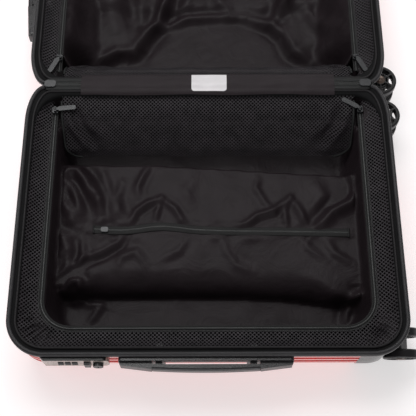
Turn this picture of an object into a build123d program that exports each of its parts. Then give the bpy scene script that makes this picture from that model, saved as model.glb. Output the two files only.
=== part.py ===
from build123d import *
import math
import os

# A hard shell suitcase on four twin-wheel casters, lying fully open on its back.
# Millimetres. +Z is up, +X runs along the case to its wheels, the base half is at -Y and the
# lid half at +Y. The two halves meet at a zip hinge along X, at the height of both rims.

# ---------------------------------------------------------------- driving sizes
CASE_LENGTH = 508.0      # over the rim zips, wheels and handles left out
CASE_WIDTH = 385.5       # over one half's rim
HALF_DEPTH = 98.0        # floor to the plane where the two rims meet
HINGE_GAP = 7.5          # hinge line to the near edge of each rim
CORNER_RADIUS = 50.0     # rim corners, seen from above

WALL = 2.5               # polycarbonate shell
SHELL_INSET = 3.5        # rim edge to the shell's wall at its top
SHELL_DROP = 5.7         # rim plane down to the shell's top edge
DRAFT = 5.0              # degrees, walls lean in towards the floor
EDGE_RADIUS = 37.0       # wall to large face
RIB_RISE = 1.6           # raised ribs on the shell
RIB_WIDTH = 9.0
RIB_PITCH = 18.0
WALL_RIBS = 3

BEAD_WIDTH = 6.0         # outer bead of the rim zip
BEAD_TOP = 0.3           # rim plane down to the bead's top
PIPING_INSET = 10.0      # rim edge to the inner piping
PIPING_WIDTH = 3.0
PIPING_DROP = 2.0
HINGE_PIPING = 9.0       # hinge line to the piping beside it
TAPE_THICKNESS = 0.8

TRACK_INSET = 37.0       # rim edge to the divider's zip track
TRACK_WIDTH = 5.5
TRACK_DROP = 15.0        # rim plane down to the track's top
TRACK_THICKNESS = 3.0
TRACK_RADIUS = 42.0
TRACK_START = 30.0       # hinge line to the ends of the track
MESH_THICKNESS = 1.2
MESH_DIP = 3.5           # near the hinge the mesh rises only this far over the track

LINING_THICKNESS = 1.0
LINING_FLOOR = 7.0
HUMP_NEAR = 98.0         # hinge line to the near side of the cover over the handle tubes
HUMP_FAR = 288.0
HUMP_TOP = 40.0
HUMP_SLOPE = 8.0

CASTER_INSET_Y = 39.0    # hinge line to a swivel axis, and the same from the far rim
CASTER_HEIGHT = 41.0
CASTER_TRAIL = 10.0
WHEEL_RADIUS = 24.0
WHEEL_WIDTH = 11.5
WHEEL_GAP = 16.5
WHEEL_INSET = 2.0        # case's end to an axle
WHEEL_ROUND = 2.5
AXLE_RADIUS = 3.0
AXLE_CLEARANCE = 0.06
POCKET_CLEARANCE = 1.2
POCKET_WALL = 2.5
POCKET_DEPTH = 32.5      # case's end to the caster pocket's floor
STEM_RADIUS = 6.0
SEAT_DEPTH = 3.0         # boss round the stem, behind the pocket's floor
SWIVEL_RADIUS = 15.0
HOUSING_LENGTH = 58.0    # how far a corner housing reaches along the case
HOUSING_REACH = 84.0     # how far it reaches across the end wall

TUBE_SPACING = 124.0
TUBE_WIDTH = 24.0
TUBE_HEIGHT = 14.0
TUBE_WALL = 1.0
TUBE_CLEARANCE = 0.3
TUBE_Z = 27.0
TUBE_CUP_GAP = 51.0      # case's end to the tubes in their cup
TUBE_FOOT_GAP = 54.0     # and to their foot at the wheel end
STAGE_STEP = 12.0        # each stage is this much shorter than the one around it
GRIP_LENGTH = 150.0
GRIP_HEIGHT = 18.0
GRIP_DEPTH = 14.0
GRIP_SUNK = 13.0         # case's end to the folded grip's outer face
CUP_LENGTH = 158.0
CUP_BELOW = 19.0         # cup's mouth below and above the middle of the tubes
CUP_ABOVE = 18.0
BUTTON_LENGTH = 30.0
BUTTON_HEIGHT = 10.0
BUTTON_PROUD = 2.0

PLATE_PROUD = 4.0        # handle plates and lock stand this far outside the rim
PLATE_DROP = 7.0         # rim plane down to the plates' top
PLATE_HEIGHT = 25.0
PLATE_LIP = 6.0          # rim left round the recess behind a grip
SIDE_HANDLE_X = -2.5
SIDE_GRIP_HALF = 67.0
SIDE_BRACKET = 42.0
TOP_GRIP_HALF = 56.0
TOP_BRACKET = 56.0
BRACKET_TOE = 4.5        # a bracket's height over the plate at its outer end
HANDLE_PROUD = 11.5      # grip's outer face to the plate
HANDLE_GAP = 3.2         # grip's inner face to the plate
HANDLE_HEIGHT = 14.0
HANDLE_TRAVEL = 18.0

LOCK_INSET = 43.5        # case's end to the lock
LOCK_LENGTH = 87.0
DIAL_RADIUS = 9.0
DIAL_WIDTH = 6.5
DIAL_PITCH = 8.6
FIRST_DIAL = 27.0        # lock's end to the first dial's middle
RELEASE_AT = 60.0
KEY_AT = 73.5
KEY_RADIUS = 6.5
RELEASE_SIZE = (8.0, 14.0)
RELEASE_PROUD = 4.0

CHAIN_HALF = 3.0
SLIDER_INSET = 32.0      # case's end to the middle of a main slider
SLIDER_LENGTH = 16.0
SLIDER_WIDTH = 10.8
PULLER_LENGTH = 31.0
PULLER_WIDTH = 7.0
PULLER_THICKNESS = 1.8
SLIDER_HEIGHT = 3.2      # divider sliders, above their track
PIN_RADIUS = 0.9         # the cross pin that a divider's puller swings on
BARREL_RADIUS = 1.9
NECK_WIDTH = 4.0
CHEEK = 1.2
CLEAR = 0.3              # between pieces that move past each other

# ---------------------------------------------------------------- places worked out from them
MID_Y = -(HINGE_GAP + CASE_WIDTH / 2)
WHEEL_X = CASE_LENGTH / 2 - WHEEL_INSET
POCKET_FLOOR = CASE_LENGTH / 2 - POCKET_DEPTH
TUBE_START = TUBE_CUP_GAP - CASE_LENGTH / 2
TUBE_END = CASE_LENGTH / 2 - TUBE_FOOT_GAP
GRIP_OUTER_X = GRIP_SUNK - CASE_LENGTH / 2
LOCK_START = LOCK_INSET - CASE_LENGTH / 2
SLIDER_X = CASE_LENGTH / 2 - SLIDER_INSET
PLATE_TOP = HALF_DEPTH - PLATE_DROP
FAR_Y = -(HINGE_GAP + CASE_WIDTH)
SHELL_TOP = HALF_DEPTH - SHELL_DROP
CASTER_FAR_Y = -(CASE_WIDTH + 2 * HINGE_GAP - CASTER_INSET_Y)
TRACK_TOP = HALF_DEPTH - TRACK_DROP
HANDLE_MID_Z = PLATE_TOP - PLATE_HEIGHT / 2
TOP_HANDLE_X = -(CASE_LENGTH / 2 + PLATE_PROUD)
HIGH_X = WHEEL_X + WHEEL_RADIUS
LOW_X = TOP_HANDLE_X - HANDLE_PROUD
LOW_Y = FAR_Y - PLATE_PROUD - HANDLE_PROUD
HIGH_Y = -FAR_Y
CENTRE = ((LOW_X + HIGH_X) / 2, (LOW_Y + HIGH_Y) / 2)

os.makedirs("parts", exist_ok=True)


def save(shape, name):
    """Writes one sub-part, moved so that the origin is under the middle of the whole object."""
    export_step(Pos(-CENTRE[0], -CENTRE[1], 0) * shape, f"parts/{name}.step")


def to_lid(shape):
    """The lid half's copy of something made for the base half."""
    return mirror(shape, about=Plane.XZ)


def block(low, high):
    """A box given by its lowest and highest corners."""
    size = [b - a for a, b in zip(low, high)]
    middle = [(a + b) / 2 for a, b in zip(low, high)]
    return Pos(*middle) * Box(*size)


def rounded(inset, low_z, high_z, radius, hinge_side=None):
    """An upright prism with rounded corners, this far in from the rim's edge on every side."""
    near = -(HINGE_GAP + inset) if hinge_side is None else -hinge_side
    far = FAR_Y + inset
    plan = RectangleRounded(CASE_LENGTH - 2 * inset, near - far, radius)
    return extrude(Pos(0, (near + far) / 2, low_z) * plan, high_z - low_z)


def filled_half(inset, floor, edge_radius):
    """A solid half case: drafted walls from the rim down, and a rounded edge round the floor."""
    plan = RectangleRounded(
        CASE_LENGTH - 2 * inset, CASE_WIDTH - 2 * inset, CORNER_RADIUS - inset
    )
    solid = extrude(Pos(0, MID_Y, SHELL_TOP) * plan, -(SHELL_TOP - floor), taper=DRAFT)
    return fillet(solid.edges().group_by(Axis.Z)[0], edge_radius)


# ---------------------------------------------------------------- shells
RIBBED = filled_half(SHELL_INSET - RIB_RISE, 0.0, EDGE_RADIUS + RIB_RISE)
SMOOTH = filled_half(SHELL_INSET, RIB_RISE, EDGE_RADIUS)
INNER = filled_half(SHELL_INSET + WALL, RIB_RISE + WALL, EDGE_RADIUS - WALL)


def rib_bands():
    """The bands where the shell is raised: along the large face and round the walls."""
    count = int((CASE_WIDTH / 2 - CORNER_RADIUS) // RIB_PITCH)
    bands = [
        block(
            (-CASE_LENGTH, MID_Y + i * RIB_PITCH - RIB_WIDTH / 2, 0),
            (CASE_LENGTH, MID_Y + i * RIB_PITCH + RIB_WIDTH / 2, EDGE_RADIUS / 2),
        )
        for i in range(-count, count + 1)
    ]
    for i in range(WALL_RIBS):
        top = SHELL_TOP - RIB_WIDTH - i * RIB_PITCH
        bands.append(
            block((-CASE_LENGTH, FAR_Y, top - RIB_WIDTH), (CASE_LENGTH, 0, top))
        )
    return bands


def housing_zone(outward):
    """The corner of a half that its caster housing takes up, with a slanted front edge."""
    beyond = MID_Y + outward * CASE_WIDTH
    wall = MID_Y + outward * CASE_WIDTH / 2
    inner = wall - outward * HOUSING_REACH
    front = CASE_LENGTH / 2 - HOUSING_LENGTH
    slant = HOUSING_LENGTH / 3
    points = [
        (CASE_LENGTH, beyond),
        (front - slant, beyond),
        (front, inner),
        (CASE_LENGTH, inner),
    ]
    plan = make_face(Polyline(*points, close=True))
    return extrude(plan, SHELL_TOP - PIPING_INSET)


def pocket(axis_y, radius, start_x):
    """A round space about a caster's swivel axis, from start_x outwards."""
    place = Plane(origin=(start_x, axis_y, CASTER_HEIGHT), z_dir=(1, 0, 0))
    return extrude(place * Circle(radius), CASE_LENGTH / 2 + 20 - start_x)


SWEEP_RADIUS = math.hypot(CASTER_TRAIL + WHEEL_RADIUS, WHEEL_GAP / 2 + WHEEL_WIDTH)
POCKET_RADIUS = SWEEP_RADIUS + POCKET_CLEARANCE - WHEEL_ROUND / 2
CORNERS = {"hinge": (-CASTER_INSET_Y, 1), "side": (CASTER_FAR_Y, -1)}


def housing(axis_y, outward):
    """A moulded corner: skin flush with the shell's ribs, and a round pocket for the caster."""
    zone = housing_zone(outward)
    skin = (RIBBED - INNER) & zone
    cup = RIBBED & pocket(axis_y, POCKET_RADIUS + POCKET_WALL, POCKET_FLOOR - POCKET_WALL)
    seat_x = POCKET_FLOOR - POCKET_WALL - SEAT_DEPTH
    seat_place = Plane(origin=(seat_x, axis_y, CASTER_HEIGHT), z_dir=(1, 0, 0))
    seat = extrude(seat_place * Circle(2 * STEM_RADIUS), POCKET_WALL + SEAT_DEPTH)
    bore = extrude(seat_place * Circle(STEM_RADIUS + AXLE_CLEARANCE), 2 * POCKET_WALL + SEAT_DEPTH)
    return skin + cup + seat - pocket(axis_y, POCKET_RADIUS, POCKET_FLOOR) - bore


def shell(corners):
    """One half's polycarbonate shell, with its corners left to the caster housings."""
    ribs = RIBBED & Part() + rib_bands()
    solid = SMOOTH + ribs - INNER
    for axis_y, outward in corners:
        solid -= housing_zone(outward)
        solid -= pocket(axis_y, POCKET_RADIUS + POCKET_WALL, POCKET_FLOOR - POCKET_WALL)
    return solid


HOUSINGS = {name: housing(*spot) for name, spot in CORNERS.items()}
PLAIN_SHELL = shell(CORNERS.values())

# ---------------------------------------------------------------- rim zip, piping, track, mesh
WEB_BOTTOM = SHELL_TOP + 0.1
WEB_TOP = WEB_BOTTOM + TAPE_THICKNESS
THREE_SIDES = block((-300, FAR_Y - 1, 0), (300, -(HINGE_GAP + 16.0), HALF_DEPTH))


def rim_zip():
    """Tape along the shell's top edge with the zip's raised bead, on three sides."""
    web = rounded(1.0, WEB_BOTTOM, WEB_TOP, CORNER_RADIUS - 1.0)
    web -= rounded(PIPING_INSET, 0, HALF_DEPTH, CORNER_RADIUS - PIPING_INSET)
    bead_top = HALF_DEPTH - BEAD_TOP
    bead = rounded(0.0, WEB_TOP, bead_top, CORNER_RADIUS)
    bead -= rounded(BEAD_WIDTH, 0, HALF_DEPTH, CORNER_RADIUS - BEAD_WIDTH)
    return (web + bead) & THREE_SIDES


def rim_piping():
    """The inner bead, all the way round; beside the hinge it runs closer to the hinge line."""
    inner = PIPING_INSET + PIPING_WIDTH
    radius = CORNER_RADIUS - PIPING_INSET
    top = HALF_DEPTH - PIPING_DROP
    ring = rounded(PIPING_INSET, WEB_BOTTOM, top, radius, HINGE_PIPING)
    ring -= rounded(inner, 0, HALF_DEPTH, radius - PIPING_WIDTH, HINGE_PIPING + PIPING_WIDTH)
    return ring - rim_zip()


TRACK_LIMIT = block((-300, FAR_Y, 0), (300, -TRACK_START, HALF_DEPTH))


def divider_track():
    """The tape and coil that the mesh divider zips on to, on three sides."""
    low = TRACK_TOP - TRACK_THICKNESS
    beyond = -2 * TRACK_RADIUS
    ring = rounded(TRACK_INSET, low, TRACK_TOP, TRACK_RADIUS, beyond)
    inner_inset = TRACK_INSET + TRACK_WIDTH
    ring -= rounded(inner_inset, 0, HALF_DEPTH, TRACK_RADIUS - TRACK_WIDTH, beyond)
    return ring & TRACK_LIMIT


def mesh_border():
    """Mesh from the piping down to the track: a sloping band, clear of the caster pockets."""
    low = TRACK_TOP - TRACK_THICKNESS
    outer_inset = PIPING_INSET + PIPING_WIDTH + 0.2
    top_plan = RectangleRounded(
        CASE_LENGTH - 2 * outer_inset, CASE_WIDTH - 2 * outer_inset, CORNER_RADIUS - outer_inset
    )
    half, near, far = CASE_LENGTH / 2 - TRACK_INSET, -TRACK_START + 6.0, FAR_Y + TRACK_INSET
    outline = Polyline((-half, far), (half, far), (half, near), (-half, near), close=True)
    low_plan = make_face(outline)
    corners = low_plan.vertices().group_by(Axis.Y)
    low_plan = fillet(corners[0], TRACK_RADIUS)
    low_plan = fillet(low_plan.vertices().group_by(Axis.Y)[-1], 6.0)
    high = WEB_TOP - MESH_THICKNESS
    funnel = loft([Pos(0, 0, low) * low_plan, Pos(0, MID_Y, high) * top_plan])
    band = funnel - Pos(0, 0, MESH_THICKNESS) * funnel
    band -= extrude(low_plan, HALF_DEPTH)
    band -= block((-CASE_LENGTH, -TRACK_RADIUS, TRACK_TOP + MESH_DIP), (CASE_LENGTH, 0, HALF_DEPTH))
    for axis_y, _ in CORNERS.values():
        band -= pocket(axis_y, POCKET_RADIUS + POCKET_WALL + CLEAR, POCKET_FLOOR - POCKET_WALL - CLEAR)
    return band - block((-half + 8, -2 * TRACK_START, 0), (half - 8, 0, HALF_DEPTH))


# ---------------------------------------------------------------- lining and divider
LINING_INSET = TRACK_INSET + TRACK_WIDTH + 0.3
LINING_TOP = TRACK_TOP - TRACK_THICKNESS - 0.5


def side_view(points):
    """A face in the YZ plane from (y, z) points."""
    return make_face(Plane.YZ * Polyline(*points, close=True))


def lining(with_hump):
    """The fabric tray of one half, and on the base the long cover over the handle tubes."""
    near = -(HINGE_GAP + 56.0)
    far = FAR_Y + LINING_INSET
    floor = LINING_FLOOR
    points = [(near + 24, LINING_TOP), (near, floor)]
    if with_hump:
        points += [
            (-HUMP_NEAR, floor),
            (-HUMP_NEAR - HUMP_SLOPE, HUMP_TOP),
            (-HUMP_FAR + HUMP_SLOPE, HUMP_TOP),
            (-HUMP_FAR, floor),
        ]
    points += [(far, floor), (far, LINING_TOP)]
    outside = side_view(points)
    raised = [(y, z + (LINING_THICKNESS if z < LINING_TOP else 1)) for y, z in points]
    raised[0] = (raised[0][0] - LINING_THICKNESS, raised[0][1])
    raised[1] = (raised[1][0] - LINING_THICKNESS, raised[1][1])
    raised[-1] = (far + LINING_THICKNESS, LINING_TOP + 1)
    raised[-2] = (far + LINING_THICKNESS, floor + LINING_THICKNESS)
    inside = side_view(raised)
    half = CASE_LENGTH / 2 - LINING_INSET
    tray = extrude(outside, half, both=True)
    tray -= extrude(inside, half - LINING_THICKNESS, both=True)
    corner = TRACK_RADIUS - TRACK_WIDTH
    return tray & rounded(LINING_INSET, 0, HALF_DEPTH, corner)


DIVIDER_HALF_X = CASE_LENGTH / 2 - TRACK_INSET - 13.0
DIVIDER_THICKNESS = 3.0


def divider(points):
    """A mesh divider unzipped and tucked down at the hinge side: one bent sheet."""
    line = Polyline(*[(0, -y, HALF_DEPTH - drop) for y, drop in points])
    sheet = trace_plane(line)
    return extrude(sheet, DIVIDER_HALF_X, both=True)


def trace_plane(line):
    """A strip of constant thickness along a line drawn in the YZ plane."""
    flat = Plane.YZ.to_local_coords(line)
    return Plane.YZ * trace(flat, DIVIDER_THICKNESS)


# Each divider's fall: distances from the hinge line, and down from the rim plane.
BASE_DIVIDER = [(16, 13), (30, 14.5), (44, 20), (56, 32), (66, 46), (76, 54)]
LID_DIVIDER = [(16, 13), (30, 16), (40, 24), (46, 38), (62, 54)]

# ---------------------------------------------------------------- halves
SLEEVE_HALF_X = SLIDER_X - 41.0


def sleeve_half():
    """One half's share of the fabric sleeve along the hinge."""
    top = HALF_DEPTH - 0.5
    return block((-SLEEVE_HALF_X, -17.0, top - 1.0), (SLEEVE_HALF_X, -HINGE_GAP + 0.2, top))


def soft_trim(side, place, with_hump, divider_line):
    """Everything that lines one half."""
    save(place(rim_zip()), f"{side}_rim_zip")
    save(place(rim_piping()), f"{side}_rim_piping")
    save(place(divider_track()), f"{side}_divider_track")
    save(place(mesh_border()), f"{side}_mesh_border")
    save(place(lining(with_hump)), f"{side}_lining")
    save(place(divider(divider_line)), f"{side}_divider")
    save(place(sleeve_half()), f"{side}_sleeve_half")


# ---------------------------------------------------------------- carry handles
def handle_frame(centre, turn):
    """A handle's own frame: its length along X, and -Y pointing out of the case's wall."""
    return Pos(*centre) * Rot(0, 0, turn)


ARM_WIDTH = 8.0
ARM_HEIGHT = 12.0
ARM_REACH = HANDLE_TRAVEL + 6.0


def arm(sign, grip_half, clearance, low, high):
    """One arm that guides a grip, or with clearance the hole for it."""
    middle = sign * (grip_half - ARM_WIDTH)
    across = ARM_WIDTH / 2 + clearance
    tall = ARM_HEIGHT / 2 + clearance
    return block((middle - across, low, -tall), (middle + across, high, tall))


def plate_outline(grip_half, bracket, depth):
    """The rounded plate behind a pull-out handle, which is also the window in the shell."""
    half = grip_half + bracket
    plate = block((-half, 0, -PLATE_HEIGHT / 2), (half, depth, PLATE_HEIGHT / 2))
    return fillet(plate.edges().filter_by(Axis.Y), 4.0)


def handle_plate(grip_half, bracket, depth):
    """The back plate of a pull-out handle, with room for fingers and holes for the grip's arms."""
    plate = plate_outline(grip_half, bracket, depth)
    room = grip_half - 2 * ARM_WIDTH
    plate -= block(
        (-room, -1.0, -PLATE_HEIGHT / 2 - 1.0), (room, PLATE_PROUD, PLATE_HEIGHT / 2 - PLATE_LIP)
    )
    for sign in (-1, 1):
        plate -= arm(sign, grip_half, CLEAR, -5, depth + 5)
    return plate


def handle_brackets(grip_half, bracket):
    """The two end caps, each sloping down to the plate at its outer end."""
    both = []
    tall = HANDLE_HEIGHT / 2
    for sign in (-1, 1):
        points = [
            (sign * (grip_half + CLEAR), 0),
            (sign * (grip_half + CLEAR), -HANDLE_PROUD + 2.0),
            (sign * (grip_half + bracket - 2.0), -BRACKET_TOE),
            (sign * (grip_half + bracket - 0.5), 0),
        ]
        cap = extrude(make_face(Polyline(*points, close=True)), tall, both=True)
        both.append(fillet(cap.edges().filter_by(Axis.Z).group_by(Axis.Y)[0], 1.5))
    return Part() + both


def handle_grip(grip_half):
    """The arched grip with its two arms."""
    tall = HANDLE_HEIGHT / 2
    outer = ThreePointArc(
        (-grip_half, -HANDLE_PROUD + 2.0), (0, -HANDLE_PROUD), (grip_half, -HANDLE_PROUD + 2.0)
    )
    rest = Polyline(
        (grip_half, -HANDLE_PROUD + 2.0),
        (grip_half, -HANDLE_GAP),
        (-grip_half, -HANDLE_GAP),
        (-grip_half, -HANDLE_PROUD + 2.0),
    )
    bar = extrude(make_face([outer, rest]), tall, both=True)
    bar = fillet(bar.edges().filter_by(GeomType.CIRCLE), 3.0)
    for sign in (-1, 1):
        bar += arm(sign, grip_half, 0, -HANDLE_GAP - 1, ARM_REACH)
    return bar


SIDE_FRAME = handle_frame((SIDE_HANDLE_X, FAR_Y - PLATE_PROUD, HANDLE_MID_Z), 0)
TOP_FRAME = handle_frame((TOP_HANDLE_X, -MID_Y, HANDLE_MID_Z), -90)
PLATE_DEPTH = PLATE_PROUD + SHELL_INSET + WALL + 3.0

save(SIDE_FRAME * handle_plate(SIDE_GRIP_HALF, SIDE_BRACKET, PLATE_DEPTH), "side_handle_plate")
save(SIDE_FRAME * handle_brackets(SIDE_GRIP_HALF, SIDE_BRACKET), "side_handle_brackets")
save(SIDE_FRAME * handle_grip(SIDE_GRIP_HALF), "side_handle_grip")
save(TOP_FRAME * handle_plate(TOP_GRIP_HALF, TOP_BRACKET, PLATE_DEPTH), "top_handle_plate")
save(TOP_FRAME * handle_brackets(TOP_GRIP_HALF, TOP_BRACKET), "top_handle_brackets")
save(TOP_FRAME * handle_grip(TOP_GRIP_HALF), "top_handle_grip")

# ---------------------------------------------------------------- combination lock
LOCK_FRONT = FAR_Y - PLATE_PROUD
DIAL_Y = LOCK_FRONT + DIAL_RADIUS - 2.0
LOCK_END = LOCK_START + LOCK_LENGTH


def lock_block(grow):
    """The lock's outline: one end cut at a slant, the other rounded."""
    low = PLATE_TOP - PLATE_HEIGHT - grow
    high = PLATE_TOP + grow
    solid = block(
        (LOCK_START - grow, LOCK_FRONT, low), (LOCK_END + grow, LOCK_FRONT + PLATE_DEPTH, high)
    )
    upright = solid.edges().filter_by(Axis.Z)
    solid = chamfer(upright.group_by(Axis.X)[0].group_by(Axis.Y)[0], 6.0)
    return fillet(solid.edges().filter_by(Axis.Y).group_by(Axis.X)[-1], 8.0)


def along_x(radius, centre, width):
    """A disc with its axis along X."""
    place = Plane(origin=(centre[0] - width / 2, centre[1], centre[2]), z_dir=(1, 0, 0))
    return extrude(place * Circle(radius), width)


def facing_out(shape, x, start, depth):
    """A face carried inwards through the lock's front from start."""
    place = Plane(origin=(x, start, HANDLE_MID_Z), x_dir=(1, 0, 0), z_dir=(0, 1, 0))
    return extrude(place * shape, depth)


dial_spots = [LOCK_START + FIRST_DIAL + i * DIAL_PITCH for i in range(3)]
release_x = LOCK_START + RELEASE_AT
key_x = LOCK_START + KEY_AT
lock_case = lock_block(0)
for x in dial_spots:
    lock_case -= along_x(DIAL_RADIUS + 0.5, (x, DIAL_Y, HANDLE_MID_Z), DIAL_WIDTH + 2 * CLEAR)
shaft = along_x(1.5, (dial_spots[1], DIAL_Y, HANDLE_MID_Z), 3 * DIAL_PITCH)
lock_case += shaft
wide, tall = RELEASE_SIZE
release_hole = Rectangle(wide + 2 * CLEAR, tall + 2 * CLEAR)
lock_case -= facing_out(release_hole, release_x, LOCK_FRONT - 1, 8.0)
lock_case -= facing_out(Circle(KEY_RADIUS + AXLE_CLEARANCE), key_x, LOCK_FRONT - 1, 9.0)
save(lock_case, "lock_case")
for number, x in enumerate(dial_spots, 1):
    dial = along_x(DIAL_RADIUS, (x, DIAL_Y, HANDLE_MID_Z), DIAL_WIDTH)
    for k in range(10):
        angle = math.radians(36 * k)
        y = DIAL_Y + DIAL_RADIUS * math.cos(angle)
        z = HANDLE_MID_Z + DIAL_RADIUS * math.sin(angle)
        dial -= along_x(1.1, (x, y, z), DIAL_WIDTH)
    dial -= along_x(1.5 + AXLE_CLEARANCE, (x, DIAL_Y, HANDLE_MID_Z), DIAL_WIDTH)
    save(dial, f"lock_dial_{number}")
release = facing_out(Rectangle(wide, tall), release_x, LOCK_FRONT - RELEASE_PROUD, 6.0)
save(fillet(release.edges().group_by(Axis.Y)[0], 1.2), "lock_release_button")
key_core = facing_out(Circle(KEY_RADIUS), key_x, LOCK_FRONT - 5.0, 12.0)
key_core -= facing_out(Rectangle(1.2, 6.0), key_x, LOCK_FRONT - 6.0, 5.0)
save(key_core, "lock_key_core")


# ---------------------------------------------------------------- telescopic handle
def tube(stage, start, end):
    """One pair of tubes; each stage is thinner than the one around it."""
    shrink = 2 * stage * (TUBE_WALL + TUBE_CLEARANCE)
    wide, tall = TUBE_WIDTH - shrink, TUBE_HEIGHT - shrink
    pair = []
    for side in (-1, 1):
        y = MID_Y + side * TUBE_SPACING / 2
        place = Plane(origin=(start, y, TUBE_Z), x_dir=(0, 1, 0), z_dir=(1, 0, 0))
        ring = RectangleRounded(wide, tall, 3.5 - stage)
        ring -= RectangleRounded(wide - 2 * TUBE_WALL, tall - 2 * TUBE_WALL, 2.5 - stage)
        pair.append(extrude(place * ring, end - start))
    return Part() + pair


def cup():
    """The moulded cup in the end wall that the grip folds into."""
    half = CUP_LENGTH / 2
    mouth = block(
        (-CASE_LENGTH / 2, MID_Y - half, TUBE_Z - CUP_BELOW),
        (-CASE_LENGTH / 2 + LINING_INSET - 6.0, MID_Y + half, TUBE_Z + CUP_ABOVE),
    )
    back = block(
        (-CASE_LENGTH / 2 + LINING_INSET - 6.0, MID_Y - half, TUBE_Z - 14.0),
        (TUBE_START, MID_Y + half, HUMP_TOP - 1.0),
    )
    solid = (mouth & RIBBED) + back
    room = GRIP_LENGTH / 2 + 2.0
    solid -= block(
        (-CASE_LENGTH, MID_Y - room, TUBE_Z - 14.0 + POCKET_WALL),
        (TUBE_START - POCKET_WALL, MID_Y + room, HUMP_TOP - 1.0 - POCKET_WALL),
    )
    for side in (-1, 1):
        y = MID_Y + side * TUBE_SPACING / 2
        wide = TUBE_WIDTH / 2 - TUBE_WALL
        tall = TUBE_HEIGHT / 2 - TUBE_WALL
        solid -= block((-CASE_LENGTH, y - wide, TUBE_Z - tall), (TUBE_START + 1, y + wide, TUBE_Z + tall))
    return solid


CUP = cup()
CUP_WINDOW = block(
    (-CASE_LENGTH, MID_Y - CUP_LENGTH / 2, TUBE_Z - CUP_BELOW),
    (-CASE_LENGTH / 2 + LINING_INSET, MID_Y + CUP_LENGTH / 2, TUBE_Z + CUP_ABOVE),
)
GRIP_INNER_X = GRIP_OUTER_X + GRIP_DEPTH


def grip_button(clearance, inner_x):
    """The push button in the grip's outer face, or with clearance the well for it."""
    half = BUTTON_LENGTH / 2 + clearance
    tall = BUTTON_HEIGHT / 2 + clearance
    return block(
        (GRIP_OUTER_X - BUTTON_PROUD, MID_Y - half, TUBE_Z - tall),
        (inner_x, MID_Y + half, TUBE_Z + tall),
    )


def trolley_grip():
    """The grip bar, with a well for its push button and sockets on the inner tubes."""
    half = GRIP_LENGTH / 2
    bar = block(
        (GRIP_OUTER_X, MID_Y - half, TUBE_Z - GRIP_HEIGHT / 2),
        (GRIP_INNER_X, MID_Y + half, TUBE_Z + GRIP_HEIGHT / 2),
    )
    bar = fillet(bar.edges().filter_by(Axis.Y), 4.0)
    return bar - grip_button(CLEAR, GRIP_OUTER_X + 8)


save(tube(0, TUBE_START, TUBE_END), "trolley_outer_tubes")
save(tube(1, TUBE_START - 1.0, TUBE_END - STAGE_STEP), "trolley_middle_tubes")
save(tube(2, GRIP_INNER_X, TUBE_END - 2 * STAGE_STEP), "trolley_inner_tubes")
save(trolley_grip(), "trolley_grip")
button = grip_button(0, GRIP_OUTER_X + 4.5)
save(fillet(button.edges().group_by(Axis.X)[0], 1.5), "trolley_button")
save(CUP, "trolley_cup")


def foot_bracket():
    """The cross piece that holds the outer tubes' ends to the shell."""
    half = TUBE_SPACING / 2 + TUBE_WIDTH / 2 + 4.0
    low = RIB_RISE + WALL
    solid = block((TUBE_END - 22, MID_Y - half, low), (TUBE_END + 3, MID_Y + half, HUMP_TOP - 2.0))
    for side in (-1, 1):
        y = MID_Y + side * TUBE_SPACING / 2
        wide, tall = TUBE_WIDTH / 2, TUBE_HEIGHT / 2
        solid -= block((0, y - wide, TUBE_Z - tall), (TUBE_END, y + wide, TUBE_Z + tall))
    middle = TUBE_SPACING / 2 - TUBE_WIDTH / 2 - 6.0
    return solid - block((0, MID_Y - middle, low + 3.0), (CASE_LENGTH, MID_Y + middle, HALF_DEPTH))


save(foot_bracket(), "trolley_foot_bracket")

# ---------------------------------------------------------------- shells with their openings
base_shell = PLAIN_SHELL - SIDE_FRAME * plate_outline(SIDE_GRIP_HALF, SIDE_BRACKET, PLATE_DEPTH)
base_shell -= lock_block(0)
base_shell -= CUP_WINDOW
save(base_shell, "base_shell")
top_window = TOP_FRAME * plate_outline(TOP_GRIP_HALF, TOP_BRACKET, PLATE_DEPTH)
save(to_lid(PLAIN_SHELL) - top_window, "lid_shell")

soft_trim("base", lambda shape: shape, True, BASE_DIVIDER)
soft_trim("lid", to_lid, False, LID_DIVIDER)

# ---------------------------------------------------------------- lining access zip
POCKET_START = TUBE_START + 46.0
POCKET_END = TUBE_END - 8.0
POCKET_Y = -(HUMP_NEAR + HUMP_FAR) / 2 - 8.0
COIL_TOP = HUMP_TOP + LINING_THICKNESS + 2.0


def zip_strip(half_width, low, high):
    """One layer of the zip along the cover over the handle tubes."""
    return block(
        (POCKET_START, POCKET_Y - half_width, low), (POCKET_END, POCKET_Y + half_width, high)
    )


tape = zip_strip(6.0, HUMP_TOP + LINING_THICKNESS, COIL_TOP - 1.2)
save(tape + zip_strip(1.5, COIL_TOP - 1.2, COIL_TOP), "lining_zip")
runner = block(
    (POCKET_START + 10, POCKET_Y - 3.5, COIL_TOP + CLEAR),
    (POCKET_START + 20, POCKET_Y + 3.5, COIL_TOP + 2.5),
)
save(fillet(runner.edges().filter_by(Axis.Z), 2.0), "lining_zip_slider")

# ---------------------------------------------------------------- hinge chain and main sliders
CHAIN_END = SLIDER_X + 4.0
CHAIN_LOW = HALF_DEPTH - 2.6
CHAIN_TOP = HALF_DEPTH - 0.2
chain = block((-CHAIN_END, -CHAIN_HALF, CHAIN_LOW), (CHAIN_END, CHAIN_HALF, CHAIN_TOP))
save(chain, "hinge_zip_chain")


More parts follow.
